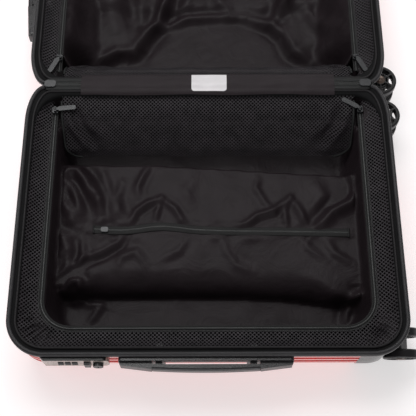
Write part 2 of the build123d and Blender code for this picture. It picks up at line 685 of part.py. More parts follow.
def main_slider(sign):
    """A slider wrapped round the closed zip, with its puller hanging flat underneath."""
    middle = sign * SLIDER_X
    half = SLIDER_LENGTH / 2
    low, high = CHAIN_LOW - CLEAR - 1.2, CHAIN_TOP + CLEAR + 1.2
    solid = block((middle - half, -SLIDER_WIDTH / 2, low), (middle + half, SLIDER_WIDTH / 2, high))
    solid = chamfer(solid.edges().filter_by(Axis.Z), 2.5)
    solid -= block(
        (middle - half - 1, -CHAIN_HALF - CLEAR, CHAIN_LOW - CLEAR),
        (middle + half + 1, CHAIN_HALF + CLEAR, CHAIN_TOP + CLEAR),
    )
    start = middle + sign * 3.0
    end = start - sign * PULLER_LENGTH
    first, last = min(start, end), max(start, end)
    puller = block(
        (first, -PULLER_WIDTH / 2, low - CLEAR - PULLER_THICKNESS),
        (last, PULLER_WIDTH / 2, low - CLEAR),
    )
    post = block((middle - 1.5, -1.5, low - CLEAR - 0.5), (middle + 1.5, 1.5, low + 0.5))
    return solid + puller + post


save(main_slider(-1), "main_slider_top_end")
save(main_slider(1), "main_slider_wheel_end")

# ---------------------------------------------------------------- divider sliders and pullers
TRACK_X = CASE_LENGTH / 2 - TRACK_INSET - TRACK_WIDTH / 2
BASE_SLIDER_Y = TRACK_START + 6.0
LID_SLIDER_Y = TRACK_START + 22.0


SLIDER_TOP = TRACK_TOP + CLEAR + SLIDER_HEIGHT
PIN_Z = SLIDER_TOP + BARREL_RADIUS + CLEAR


def pin(radius, half_width):
    """A round bar across a puller's direction, about its swinging axis."""
    return extrude(Plane.XZ * Circle(radius), half_width, both=True)


def divider_slider(sign, from_hinge, turn):
    """A small slider over the divider's track, with two cheeks that hold the puller's pin."""
    x, y = sign * TRACK_X, -from_hinge
    solid = block((x - 4.0, y - 4.5, TRACK_TOP + CLEAR), (x + 4.0, y + 4.5, SLIDER_TOP))
    solid = fillet(solid.edges().filter_by(Axis.Z), 2.0)
    inner = NECK_WIDTH / 2 + CLEAR
    bail = pin(PIN_RADIUS, inner + CHEEK)
    for low, high in ((-inner - CHEEK, -inner), (inner, inner + CHEEK)):
        bail += block((-1.5, low, SLIDER_TOP - PIN_Z - 0.5), (1.5, high, PIN_RADIUS + 0.6))
    return solid + Pos(x, y, PIN_Z) * Rot(0, 0, turn) * bail


def divider_puller(sign, from_hinge, turn):
    """A flat puller, lying over the mesh; turn is its direction seen from above."""
    half = PULLER_THICKNESS / 2
    reach = PULLER_LENGTH - BARREL_RADIUS
    shape = Pos(reach / 2 + NECK_WIDTH / 2, 0) * RectangleRounded(reach - NECK_WIDTH, PULLER_WIDTH, 2.5)
    plate = extrude(shape, half, both=True)
    plate += block((0, -NECK_WIDTH / 2, -half), (NECK_WIDTH + 2, NECK_WIDTH / 2, half))
    plate += pin(BARREL_RADIUS, NECK_WIDTH / 2)
    plate -= pin(PIN_RADIUS + CLEAR, NECK_WIDTH)
    return Pos(sign * TRACK_X, -from_hinge, PIN_Z) * Rot(0, 0, turn) * plate


# Each puller's half, end of the case, place along its track and direction.
PULLERS = [
    ("base", -1, BASE_SLIDER_Y, 6.0),
    ("base", 1, BASE_SLIDER_Y, 148.0),
    ("lid", -1, LID_SLIDER_Y, 116.0),
    ("lid", 1, LID_SLIDER_Y, 64.0),
]
for side, sign, from_hinge, turn in PULLERS:
    place = to_lid if side == "lid" else (lambda shape: shape)
    end = "wheel_end" if sign > 0 else "top_end"
    save(place(divider_slider(sign, from_hinge, turn)), f"{side}_divider_slider_{end}")
    save(place(divider_puller(sign, from_hinge, turn)), f"{side}_divider_puller_{end}")

# ---------------------------------------------------------------- casters
ARM_HALF = WHEEL_GAP / 2 - 1.0


def fork():
    """Stem, swivel plate and the arm between the wheels, trailing towards -Z."""
    start = POCKET_FLOOR - POCKET_WALL - SEAT_DEPTH + 0.5
    plate_x = POCKET_FLOOR + 0.5
    stem = along_x(STEM_RADIUS, ((start + plate_x + 1) / 2, 0, 0), plate_x + 1 - start)
    plate = along_x(SWIVEL_RADIUS, (plate_x + 2.5, 0, 0), 5.0)
    points = [
        (POCKET_FLOOR + 4, 12.0),
        (WHEEL_X - 2, 4.0),
        (WHEEL_X + 8, -CASTER_TRAIL + 2),
        (WHEEL_X + 6, -CASTER_TRAIL - 8),
        (WHEEL_X - 10, -CASTER_TRAIL - 8),
        (POCKET_FLOOR + 4, -12.0),
    ]
    side = make_face(Plane.XZ * Polyline(*points, close=True))
    solid = stem + plate + extrude(side, ARM_HALF, both=True)
    bore = Plane(origin=(WHEEL_X, ARM_HALF + 1, -CASTER_TRAIL), z_dir=(0, -1, 0))
    return solid - extrude(bore * Circle(AXLE_RADIUS + AXLE_CLEARANCE), 2 * ARM_HALF + 2)


def wheel_pair():
    """Two spoked wheels pressed on one axle."""
    middle = Plane(origin=(WHEEL_X, 0, -CASTER_TRAIL), z_dir=(0, -1, 0))
    half = WHEEL_GAP / 2 + WHEEL_WIDTH
    solids = []
    for sign in (-1, 1):
        disc = extrude(Circle(WHEEL_RADIUS), WHEEL_WIDTH)
        disc = fillet(disc.edges(), WHEEL_ROUND)
        ring = extrude(Circle(WHEEL_RADIUS - 5.0) - Circle(8.0), WHEEL_WIDTH)
        for k in range(6):
            ring -= Rot(0, 0, 60 * k) * block((6, -1.2, -1), (WHEEL_RADIUS, 1.2, WHEEL_WIDTH + 1))
        disc -= ring
        offset = WHEEL_GAP / 2 if sign > 0 else -WHEEL_GAP / 2 - WHEEL_WIDTH
        solids.append(Pos(0, 0, offset) * disc)
    axle = Pos(0, 0, -half) * extrude(Circle(AXLE_RADIUS), 2 * half)
    return middle * (Part() + solids + [axle])


FORK, WHEELS = fork(), wheel_pair()
# Each caster's place, and the turn about its swivel axis that it rests at.
CASTERS = {
    "base_hinge": (-CASTER_INSET_Y, 90.0),
    "base_side": (CASTER_FAR_Y, 11.0),
    "lid_hinge": (CASTER_INSET_Y, -90.0),
    "lid_side": (-CASTER_FAR_Y, 0.0),
}
for name, (y, turn) in CASTERS.items():
    place = Pos(0, y, CASTER_HEIGHT) * Rot(turn, 0, 0)
    save(place * FORK, f"caster_fork_{name}")
    save(place * WHEELS, f"caster_wheels_{name}")
for name, shape in HOUSINGS.items():
    save(shape, f"caster_housing_base_{name}")
    save(to_lid(shape), f"caster_housing_lid_{name}")
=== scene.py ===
import math

import bmesh
import bpy
import numpy as np
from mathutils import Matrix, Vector


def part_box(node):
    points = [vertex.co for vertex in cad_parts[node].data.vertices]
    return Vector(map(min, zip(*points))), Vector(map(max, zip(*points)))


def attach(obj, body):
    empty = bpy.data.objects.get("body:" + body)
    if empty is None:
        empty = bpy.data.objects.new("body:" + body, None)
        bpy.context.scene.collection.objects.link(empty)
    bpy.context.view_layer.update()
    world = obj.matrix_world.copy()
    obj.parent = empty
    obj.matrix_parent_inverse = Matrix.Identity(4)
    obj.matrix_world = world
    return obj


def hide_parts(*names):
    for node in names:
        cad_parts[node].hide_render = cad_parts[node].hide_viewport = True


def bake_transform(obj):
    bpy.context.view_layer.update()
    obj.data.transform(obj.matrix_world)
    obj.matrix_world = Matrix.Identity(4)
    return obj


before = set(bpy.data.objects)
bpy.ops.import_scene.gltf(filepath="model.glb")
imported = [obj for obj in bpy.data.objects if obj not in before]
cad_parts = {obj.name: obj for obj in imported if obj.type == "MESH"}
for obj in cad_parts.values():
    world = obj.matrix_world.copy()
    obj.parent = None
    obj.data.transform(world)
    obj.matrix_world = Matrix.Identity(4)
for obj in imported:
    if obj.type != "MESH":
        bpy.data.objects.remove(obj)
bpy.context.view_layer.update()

# ---------------------------------------------------------------- the view and the light
# The case lies open on a pale floor, seen from above the base half's long wall.
# Everything below is drawn in millimetres from the middle of the hinge line, on the floor.
HINGE_LOW, HINGE_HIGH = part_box("hinge_zip_chain")
ORIGIN = np.array([(HINGE_LOW.x + HINGE_HIGH.x) / 2, (HINGE_LOW.y + HINGE_HIGH.y) / 2, 0.0])
MM = 0.001

EYE = (2.2, -687.0, 1178.3)
TILT, TURN, ROLL = math.radians(24.55), math.radians(-0.11), math.radians(0.16)
eye = bpy.data.cameras.new("eye")
eye.sensor_width = 36.0
eye.lens = 77.8
eye.clip_start = 0.01
camera = bpy.data.objects.new("eye", eye)
camera.location = ORIGIN + np.array(EYE) * MM
camera.rotation_euler = (TILT, ROLL, TURN)
bpy.context.scene.collection.objects.link(camera)
bpy.context.scene.camera = camera
bpy.context.scene.view_settings.view_transform = "Standard"
bpy.context.scene.view_settings.look = "None"

LIGHTS = [
    ("ceiling", (-300, 750, 2100), (0, -150, 0), 1500, 1100, 29.0),
    ("window", (-1900, 300, 1300), (-100, 0, 60), 1100, 900, 5.0),
    ("far_wall", (700, 2400, 1100), (0, 0, 60), 1800, 900, 12.0),
    ("near_wall", (200, -2300, 700), (0, -300, 40), 2000, 900, 16.0),
]
for name, spot, target, width, depth, power in LIGHTS:
    lamp = bpy.data.lights.new(name, "AREA")
    lamp.shape = "RECTANGLE"
    lamp.size = width * MM
    lamp.size_y = depth * MM
    lamp.energy = power
    holder = bpy.data.objects.new(name, lamp)
    holder.location = ORIGIN + np.array(spot) * MM
    aim = Vector(ORIGIN + np.array(target) * MM) - holder.location
    holder.rotation_euler = aim.to_track_quat("-Z", "Y").to_euler()
    bpy.context.scene.collection.objects.link(holder)

room = bpy.data.worlds.new("room")
room.use_nodes = True
room.node_tree.nodes["Background"].inputs["Color"].default_value = (1.0, 0.985, 0.985, 1)
room.node_tree.nodes["Background"].inputs["Strength"].default_value = 0.34
bpy.context.scene.world = room


def tree_of(name):
    """A new material's node tree and its Principled BSDF."""
    material = bpy.data.materials.new(name)
    material.use_nodes = True
    return material, material.node_tree, material.node_tree.nodes["Principled BSDF"]


def colour(r, g, b):
    """A surface colour, from the 0 to 255 that a paint chart gives it."""
    shares = [c / 255 for c in (r, g, b)]
    return (*[c / 12.92 if c <= 0.04045 else ((c + 0.055) / 1.055) ** 2.4 for c in shares], 1)


def effect(name, inputs, outputs):
    """An empty shader node group with these sockets, and the nodes at its two ends."""
    group = bpy.data.node_groups.new(name, "ShaderNodeTree")
    for label, kind, value in inputs:
        socket = group.interface.new_socket(label, in_out="INPUT", socket_type=kind)
        socket.default_value = value
    for label, kind in outputs:
        group.interface.new_socket(label, in_out="OUTPUT", socket_type=kind)
    return group, group.nodes.new("NodeGroupInput"), group.nodes.new("NodeGroupOutput")


def put(tree, kind, **values):
    """A node with its settings and the values of its sockets; a socket's spaces are underscores."""
    node = tree.nodes.new(kind)
    for key, value in values.items():
        if key in node.bl_rna.properties:
            setattr(node, key, value)
        else:
            node.inputs[key.replace("_", " ")].default_value = value
    return node


FLOAT, COLOUR = "NodeSocketFloat", "NodeSocketColor"

mottle, start, end = effect(
    "mottle",
    [("Scale", FLOAT, 40.0), ("Dark", COLOUR, (0, 0, 0, 1)), ("Light", COLOUR, (1, 1, 1, 1))],
    [("Color", COLOUR), ("Mask", FLOAT)],
)
spots = put(mottle, "ShaderNodeTexCoord")
cloud = put(mottle, "ShaderNodeTexNoise", Detail=4.0, Roughness=0.6)
pick = put(mottle, "ShaderNodeMix", data_type="RGBA")
spread = put(mottle, "ShaderNodeMapRange", From_Min=0.3, From_Max=0.7)
mottle.links.new(spots.outputs["Object"], cloud.inputs["Vector"])
mottle.links.new(start.outputs["Scale"], cloud.inputs["Scale"])
mottle.links.new(cloud.outputs["Fac"], spread.inputs["Value"])
mottle.links.new(spread.outputs["Result"], pick.inputs["Factor"])
mottle.links.new(start.outputs["Dark"], pick.inputs[6])
mottle.links.new(start.outputs["Light"], pick.inputs[7])
mottle.links.new(pick.outputs[2], end.inputs["Color"])
mottle.links.new(spread.outputs["Result"], end.inputs["Mask"])


def use(tree, group, **values):
    """A node group placed in a material with its own values."""
    node = tree.nodes.new("ShaderNodeGroup")
    node.node_tree = group
    for key, value in values.items():
        node.inputs[key.replace("_", " ")].default_value = value
    return node


floor_paint, tree, shader = tree_of("floor_paint")
tone = use(tree, mottle, Scale=3.0, Dark=colour(206, 203, 204), Light=colour(210, 207, 208))
tree.links.new(tone.outputs["Color"], shader.inputs["Base Color"])
shader.inputs["Roughness"].default_value = 0.75
shader.inputs["Emission Color"].default_value = (1.0, 0.985, 0.985, 1)
shader.inputs["Emission Strength"].default_value = 0.5
floor_mesh = bpy.data.meshes.new("floor")
FLOOR_HALF = 9.0
floor_mesh.from_pydata(
    [(-FLOOR_HALF, -FLOOR_HALF, 0), (FLOOR_HALF, -FLOOR_HALF, 0),
     (FLOOR_HALF, FLOOR_HALF, 0), (-FLOOR_HALF, FLOOR_HALF, 0)],
    [], [(0, 1, 2, 3)],
)
floor_mesh.materials.append(floor_paint)
floor = bpy.data.objects.new("floor", floor_mesh)
floor.location.z = -0.0002
bpy.context.scene.collection.objects.link(floor)

# ---------------------------------------------------------------- shells
# Two vacuum-formed polycarbonate trays in glossy coral red, ribbed lengthwise for stiffness.
# The sheet has a clear gloss layer, a little colour drift and fine handling scratches.
HALVES = {"base": 1, "lid": -1}

scuffs, start, end = effect(
    "scuffs", [("Scale", FLOAT, 300.0), ("Low", FLOAT, 0.1), ("High", FLOAT, 0.3)],
    [("Roughness", FLOAT), ("Height", FLOAT)],
)
spots = put(scuffs, "ShaderNodeTexCoord")
stretch = put(scuffs, "ShaderNodeMapping")
stretch.inputs["Scale"].default_value = (0.25, 2.0, 1.0)
scratch = put(scuffs, "ShaderNodeTexNoise", Detail=5.0, Roughness=0.65)
level = put(scuffs, "ShaderNodeMapRange", From_Min=0.35, From_Max=0.75)
scuffs.links.new(spots.outputs["Object"], stretch.inputs["Vector"])
scuffs.links.new(stretch.outputs["Vector"], scratch.inputs["Vector"])
scuffs.links.new(start.outputs["Scale"], scratch.inputs["Scale"])
scuffs.links.new(scratch.outputs["Fac"], level.inputs["Value"])
scuffs.links.new(start.outputs["Low"], level.inputs["To Min"])
scuffs.links.new(start.outputs["High"], level.inputs["To Max"])
scuffs.links.new(level.outputs["Result"], end.inputs["Roughness"])
scuffs.links.new(scratch.outputs["Fac"], end.inputs["Height"])


def bumped(tree, shader, source, height, strength=0.5):
    """Feeds a height to the shader's normal, as relief this deep in metres."""
    bump = put(tree, "ShaderNodeBump", Strength=strength, Distance=height)
    tree.links.new(source, bump.inputs["Height"])
    tree.links.new(bump.outputs["Normal"], shader.inputs["Normal"])


def dress(node, material):
    """Gives a CAD node its finish."""
    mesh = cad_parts[node].data
    mesh.materials.clear()
    mesh.materials.append(material)


red_shell, tree, shader = tree_of("red_shell")
tone = use(tree, mottle, Scale=9.0, Dark=colour(196, 44, 38), Light=colour(212, 56, 48))
wear = use(tree, scuffs, Scale=160.0, Low=0.2, High=0.36)
tree.links.new(tone.outputs["Color"], shader.inputs["Base Color"])
tree.links.new(wear.outputs["Roughness"], shader.inputs["Roughness"])
bumped(tree, shader, wear.outputs["Height"], 0.0002)
shader.inputs["Coat Weight"].default_value = 0.6
shader.inputs["Coat Roughness"].default_value = 0.08
for half in HALVES:
    dress(f"{half}_shell", red_shell)

# ---------------------------------------------------------------- rim zips
# Black nylon tape is sewn round each shell's edge, and its coil stands along the outside as a
# soft bead. Both beads turn in round the hinge corners and meet in the main sliders.
HALF_LENGTH, NEAR, FAR = 254.0, -7.5, -393.0
RIM_TOP = 97.7
BEAD_INSET = 3.1
CORNER = 50.0
JOIN_X, JOIN_Y = 229.0, -3.3


def arc(centre, radii, start, stop, count):
    """Points and outward directions along part of an ellipse, in degrees."""
    turns = np.radians(np.linspace(start, stop, count))
    spots = np.stack([centre[0] + radii[0] * np.cos(turns), centre[1] + radii[1] * np.sin(turns)], 1)
    out = np.stack([np.cos(turns) / radii[0], np.sin(turns) / radii[1]], 1)
    return spots, out / np.linalg.norm(out, axis=1, keepdims=True)


def joined(*stretches):
    """One line from several stretches of (points, directions), without its repeated points."""
    spots = np.concatenate([s[0] for s in stretches])
    out = np.concatenate([s[1] for s in stretches])
    keep = np.r_[True, np.linalg.norm(np.diff(spots, axis=0), axis=1) > 1e-3]
    return spots[keep], out[keep]


def evenly(line, step):
    """The same line with its points this far apart."""
    spots, out = line
    travel = np.r_[0, np.cumsum(np.linalg.norm(np.diff(spots, axis=0), axis=1))]
    marks = np.linspace(0, travel[-1], max(int(travel[-1] / step), 2))
    spots = np.stack([np.interp(marks, travel, spots[:, i]) for i in range(2)], 1)
    out = np.stack([np.interp(marks, travel, out[:, i]) for i in range(2)], 1)
    return spots, out / np.linalg.norm(out, axis=1, keepdims=True)


def rim_line(inset, radius, near, step=4.0, mid_near=None):
    """A line round the base half, from the hinge at the wheel end to the hinge at the other."""
    x, far = HALF_LENGTH - inset, FAR + inset
    far_corner = arc((x - radius, far + radius), (radius, radius), 0, -90, 24)
    other = arc((radius - x, far + radius), (radius, radius), -90, -180, 24)
    if mid_near is not None:
        wide, tall = x - mid_near, mid_near_depth(near)
        ends = (
            [arc((mid_near, near - tall), (wide, tall), 90, 0, 30)],
            [arc((-mid_near, near - tall), (wide, tall), 180, 90, 30)],
        )
    else:
        ends = (
            [(np.array([[x, near]]), np.array([[1.0, 0.0]]))],
            [(np.array([[-x, near]]), np.array([[-1.0, 0.0]]))],
        )
    return evenly(joined(*ends[0], far_corner, other, *ends[1]), step)


def mid_near_depth(near):
    """How far from the hinge a bead starts to turn in towards its main slider."""
    return near - NEAR + CORNER


def loop(inset, radius, near, mid, tall):
    """A whole loop round the base half, always of the same number of points."""
    x, far = HALF_LENGTH - inset, FAR + inset
    turn = np.radians(np.linspace(90, 0, 30))
    by_hinge = np.stack([mid + (x - mid) * np.cos(turn), near - tall + tall * np.sin(turn)], 1)
    turn = np.radians(np.linspace(0, -90, 24))
    by_far = np.stack([x - radius + radius * np.cos(turn), far + radius + radius * np.sin(turn)], 1)
    along = np.column_stack([np.linspace(0, mid, 60, endpoint=False), np.full(60, near)])
    wall = np.column_stack([np.full(50, x), np.linspace(near - tall, far + radius, 52)[1:-1]])
    back = np.column_stack([np.linspace(x - radius, 0, 61)[1:], np.full(60, far)])
    one = np.concatenate([along, by_hinge, wall, by_far, back])
    return np.concatenate([one, (one * [-1, 1])[-2::-1]])


def ruled(loops):
    """Points and faces of a skin over several loops with their heights, outermost first."""
    count = len(loops[0][0])
    points = np.concatenate([np.column_stack([spots, np.full(count, z)]) for spots, z in loops])
    faces = []
    for k in range(len(loops) - 1):
        for i in range(count - 1):
            faces.append((k * count + i, (k + 1) * count + i, (k + 1) * count + i + 1, k * count + i + 1))
    return points, faces


def swept(line, outline, lift=0.0, ring=True):
    """Points and faces of an outline of (outward, up) carried along a line; lift raises each."""
    spots, out = line
    count, size = len(spots), len(outline)
    shape = np.asarray(outline, float)
    points = np.zeros((count, size, 3))
    points[:, :, 0] = spots[:, None, 0] + out[:, None, 0] * shape[None, :, 0]
    points[:, :, 1] = spots[:, None, 1] + out[:, None, 1] * shape[None, :, 0]
    points[:, :, 2] = shape[None, :, 1] + np.broadcast_to(lift, (count,))[:, None]
    last = size if ring else size - 1
    faces = [
        (i * size + j, (i + 1) * size + j, (i + 1) * size + (j + 1) % size, i * size + (j + 1) % size)
        for i in range(count - 1)
        for j in range(last)
    ]
    if ring and np.linalg.norm(spots[0] - spots[-1]) > 1e-3:
        faces.append(tuple(range(size)))
        faces.append(tuple((count - 1) * size + j for j in reversed(range(size))))
    return points.reshape(-1, 3), faces


def piece(name, points, faces, material, body=None, side=1, smooth=True, merge=False):
    """A mesh in frame metres from points in case millimetres; side -1 mirrors it to the lid."""
    place = np.asarray(points, float).copy()
    place[:, 1] *= side
    mesh = bpy.data.meshes.new(name)
    turned = faces if side > 0 else [tuple(reversed(f)) for f in faces]
    mesh.from_pydata((place * MM + ORIGIN).tolist(), [], turned)
    if merge:
        built = bmesh.new()
        built.from_mesh(mesh)
        bmesh.ops.remove_doubles(built, verts=built.verts, dist=0.00002)
        bmesh.ops.recalc_face_normals(built, faces=built.faces)
        built.to_mesh(mesh)
        built.free()
    mesh.polygons.foreach_set("use_smooth", [smooth] * len(mesh.polygons))
    mesh.materials.append(material)
    made = bpy.data.objects.new(name, mesh)
    bpy.context.scene.collection.objects.link(made)
    if body:
        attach(made, body)
    return made


def grid_faces(across, deep):
    """The four-sided faces between the points of a grid."""
    index = np.arange(across * deep).reshape(across, deep)
    corners = [index[:-1, :-1], index[1:, :-1], index[1:, 1:], index[:-1, 1:]]
    return np.stack(corners, -1).reshape(-1, 4).tolist()


def bead(width, top, bottom, count=10):
    """The outline of a soft bead, seen end on: a round top and straight sides."""
    turns = np.radians(np.linspace(0, 180, count))
    half = width / 2
    crown = min(half, top - bottom)
    points = [(half * math.cos(t), top - crown + crown * math.sin(t)) for t in turns]
    return points + [(-half, bottom), (half, bottom)]


weave, start, end = effect(
    "weave",
    [("Thread", FLOAT, 900.0), ("Dark", COLOUR, (0, 0, 0, 1)), ("Light", COLOUR, (1, 1, 1, 1))],
    [("Color", COLOUR), ("Height", FLOAT)],
)
spots = put(weave, "ShaderNodeTexCoord")
warp = put(weave, "ShaderNodeTexWave", bands_direction="X", Distortion=0.6, Detail=2.0)
weft = put(weave, "ShaderNodeTexWave", bands_direction="Y", Distortion=0.6, Detail=2.0)
over = put(weave, "ShaderNodeMath", operation="MAXIMUM")
drift = put(weave, "ShaderNodeTexNoise", Scale=35.0, Detail=3.0)
both = put(weave, "ShaderNodeMath", operation="MULTIPLY_ADD")
both.inputs[1].default_value = 0.35
pick = put(weave, "ShaderNodeMix", data_type="RGBA")
for wave in (warp, weft):
    weave.links.new(spots.outputs["Object"], wave.inputs["Vector"])
    weave.links.new(start.outputs["Thread"], wave.inputs["Scale"])
weave.links.new(spots.outputs["Object"], drift.inputs["Vector"])
weave.links.new(warp.outputs["Fac"], over.inputs[0])
weave.links.new(weft.outputs["Fac"], over.inputs[1])
weave.links.new(over.outputs["Value"], both.inputs[0])
weave.links.new(drift.outputs["Fac"], both.inputs[2])
weave.links.new(both.outputs["Value"], pick.inputs["Factor"])
weave.links.new(start.outputs["Dark"], pick.inputs[6])
weave.links.new(start.outputs["Light"], pick.inputs[7])
weave.links.new(pick.outputs[2], end.inputs["Color"])
weave.links.new(over.outputs["Value"], end.inputs["Height"])


def cloth(name, thread, dark, light, rough, relief, sheen=0.0, gloss=0.2):
    """A woven finish; gloss is how much it mirrors, where 0.5 is a bare plastic."""
    material, tree, shader = tree_of(name)
    shader.inputs["Specular IOR Level"].default_value = gloss
    threads = use(tree, weave, Thread=thread, Dark=dark, Light=light)
    tree.links.new(threads.outputs["Color"], shader.inputs["Base Color"])
    bumped(tree, shader, threads.outputs["Height"], relief)
    shader.inputs["Roughness"].default_value = rough
    shader.inputs["Sheen Weight"].default_value = sheen
    return material


bead_cloth = cloth("bead_cloth", 700.0, colour(22, 21, 23), colour(38, 37, 39), 0.42, 0.0001, 0.0, 0.3)
tape_cloth = cloth("tape_cloth", 620.0, colour(10, 10, 11), colour(20, 20, 21), 0.7, 0.00015, 0.0, 0.1)
for half, side in HALVES.items():
    line = rim_line(BEAD_INSET, CORNER - BEAD_INSET, JOIN_Y, mid_near=JOIN_X)
    points, faces = swept(line, bead(6.0, RIM_TOP, 91.6))
    rim = piece(f"{half}_rim_bead", points, faces, bead_cloth, half, side)
    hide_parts(f"{half}_rim_zip")
    points, faces = ruled([
        (loop(3.2, CORNER - 3.2, -3.6, JOIN_X, 54.0), 93.4),
        (loop(6.0, CORNER - 6.0, -5.6, JOIN_X - 3, 52.0), 93.9),
        (loop(7.2, CORNER - 7.2, -6.5, JOIN_X - 4, 51.5), 93.3),
        (loop(9.6, CORNER - 9.6, -8.6, JOIN_X - 6, 50.0), 93.3),
        (loop(11.5, CORNER - 11.5, -10.4, JOIN_X - 8, 49.0), 93.8),
        (loop(13.3, CORNER - 13.3, -14.4, JOIN_X - 20, 47.0), 92.9),
        (loop(13.9, CORNER - 13.9, -15.4, JOIN_X - 24, 46.5), 90.5),
        (loop(14.0, CORNER - 14.0, -15.6, JOIN_X - 24, 46.5), 84.5),
    ])
    piece(f"{half}_rim_tape", points, faces, tape_cloth, half, side)

# ---------------------------------------------------------------- inner piping
# A thinner bead runs inside the zip, where the lining and the shell's edge are sewn together.
# It is a cord wrapped in the same black cloth, stitched close along its foot.
PIPING_INSET = 11.5
PIPING_NEAR = -10.4
piping_cloth = cloth("piping_cloth", 800.0, colour(14, 13, 14), colour(28, 26, 28), 0.5, 0.0001, 0.0)
for half, side in HALVES.items():
    spots = loop(PIPING_INSET, CORNER - PIPING_INSET, PIPING_NEAR, JOIN_X - 8, 49.0)
    way = np.gradient(np.concatenate([spots[-3:-1], spots, spots[1:3]]), axis=0)[2:-2]
    out = np.stack([-way[:, 1], way[:, 0]], 1) / np.linalg.norm(way, axis=1, keepdims=True)
    points, faces = swept((spots, out), bead(3.4, 96.2, 91.8, 8))
    round_bead = piece(f"{half}_piping", points, faces, piping_cloth, half, side, merge=True)
    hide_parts(f"{half}_rim_piping")

# ---------------------------------------------------------------- divider tracks
# The divider zips on to a tape that follows three sides, lower than the rim. Its coil lies in the
# middle of the tape, with a woven edge line of a paler thread along its outer side.
TRACK_INSET = 39.75
TRACK_TOP = 83.0
TRACK_RADIUS = 39.25
TRACK_END = -30.0
TOOTH = 0.9
track_cloth = cloth("track_cloth", 620.0, colour(14, 14, 15), colour(28, 28, 28), 0.6, 0.00015, 0.0)
coil_nylon, tree, shader = tree_of("coil_nylon")
tone = use(tree, mottle, Scale=60.0, Dark=colour(26, 27, 27), Light=colour(42, 44, 43))
tree.links.new(tone.outputs["Color"], shader.inputs["Base Color"])
shader.inputs["Roughness"].default_value = 0.38
shader.inputs["Specular IOR Level"].default_value = 0.35


def coil(line_at, width, top, tooth=TOOTH, relief=0.35):
    """A zip coil along a line: a low bead whose height steps at every turn of the coil."""
    line = evenly(line_at, tooth)
    wave = np.where(np.arange(len(line[0])) % 2, 0.0, -relief)
    return swept(line, bead(width, top, top - 1.6, 6), wave)


for half, side in HALVES.items():
    line = rim_line(TRACK_INSET, TRACK_RADIUS, TRACK_END)
    outline = [(4.4, 81.9), (2.9, 81.6), (2.4, 81.4), (-2.4, 81.4), (-2.9, 81.6), (-4.0, 81.4),
               (-4.0, 80.8), (4.4, 81.0)]
    points, faces = swept(line, outline)
    track = piece(f"{half}_track_tape", points, faces, track_cloth, half, side)
    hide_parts(f"{half}_divider_track")
    points, faces = coil(line, 3.0, TRACK_TOP)
    piece(f"{half}_track_coil", points, faces, coil_nylon, half, side)
    edge = (line[0] + line[1] * 3.6, line[1])
    points, faces = swept(edge, bead(0.9, 82.3, 81.5, 5))
    piece(f"{half}_track_edge", points, faces, coil_nylon, half, side)

# ---------------------------------------------------------------- mesh borders
# A band of warp-knitted net slopes from the piping down to the divider's track. It is cut
# straight and gathered at the corners, so creases run out towards them.
NET_PITCH = 3.7
NET_HOLE = 0.66          # a hole's width over the pitch
NET_RISE = 0.35          # a thread's crown over its edges
BORDER_OUT, BORDER_IN = 12.5, 36.2
BORDER_TOP, BORDER_LOW = 92.6, 81.6


def inside(spots, inset, near, far_radius, near_radius):
    """How far each point lies inside the base half's outline at this inset; less than 0 is out."""
    x, y = np.abs(spots[:, 0]), spots[:, 1]
    half, far = HALF_LENGTH - inset, FAR + inset
    middle, tall = (near + far) / 2, (near - far) / 2
    radius = np.where(y < middle, far_radius, near_radius)
    dx = x - (half - radius)
    dy = np.abs(y - middle) - (tall - radius)
    beyond = np.hypot(np.maximum(dx, 0), np.maximum(dy, 0)) + np.minimum(np.maximum(dx, dy), 0)
    return radius - beyond


def net(region, pitch=NET_PITCH):
    """A flat diamond net over the cells whose middles region keeps, as points and faces."""
    (x0, x1), (y0, y1), keep = region
    step = pitch / math.sqrt(2)
    rows = np.arange(y0, y1, step)
    across = np.arange(x0, x1, 2 * step)
    cells = np.array([(x + (step if j % 2 else 0.0), y) for j, y in enumerate(rows) for x in across])
    cells = cells[keep(cells)]
    turns = np.radians(45 * np.arange(8))
    reach = np.where(np.arange(8) % 2, pitch / 2, step)
    ring = np.stack([np.cos(turns), np.sin(turns)], 1) * reach[:, None]
    hole = ring * np.where(np.arange(8) % 2, NET_HOLE + 0.06, NET_HOLE - 0.05)[:, None]
    outer = cells[:, None, :] + ring[None]
    keys, index = np.unique(np.round(outer.reshape(-1, 2) * 20).astype(int), axis=0, return_inverse=True)
    index = index.reshape(-1, 8)
    shared = np.zeros((len(keys), 2))
    shared[index.reshape(-1)] = outer.reshape(-1, 2)
    first = len(shared)
    flat = np.concatenate([shared, (cells[:, None, :] + hole[None]).reshape(-1, 2)])
    inner = first + np.arange(8 * len(cells)).reshape(-1, 8)
    quads = np.stack([index, np.roll(index, -1, 1), np.roll(inner, -1, 1), inner], -1)
    crown = np.r_[np.full(first, NET_RISE), np.zeros(len(flat) - first)]
    return flat, crown, quads.reshape(-1, 4).tolist()


def ripples(spots, seed, scale, count=7):
    """A smooth wandering height from a few crossed waves, the same every run."""
    draw = np.random.default_rng(seed)
    total = np.zeros(len(spots))
    for _ in range(count):
        turn, phase, size = draw.uniform(0, math.tau), draw.uniform(0, math.tau), draw.uniform(0.6, 1.7)
        along = spots[:, 0] * math.cos(turn) + spots[:, 1] * math.sin(turn)
        total += np.sin(along / (scale * size) * math.tau + phase) * size
    return total / count


net_thread, tree, shader = tree_of("net_thread")
tone = use(tree, mottle, Scale=70.0, Dark=colour(24, 22, 25), Light=colour(46, 42, 46))
knit = use(tree, weave, Thread=1500.0)
tree.links.new(tone.outputs["Color"], shader.inputs["Base Color"])
bumped(tree, shader, knit.outputs["Height"], 0.0001)
shader.inputs["Roughness"].default_value = 0.5
shader.inputs["Specular IOR Level"].default_value = 0.25


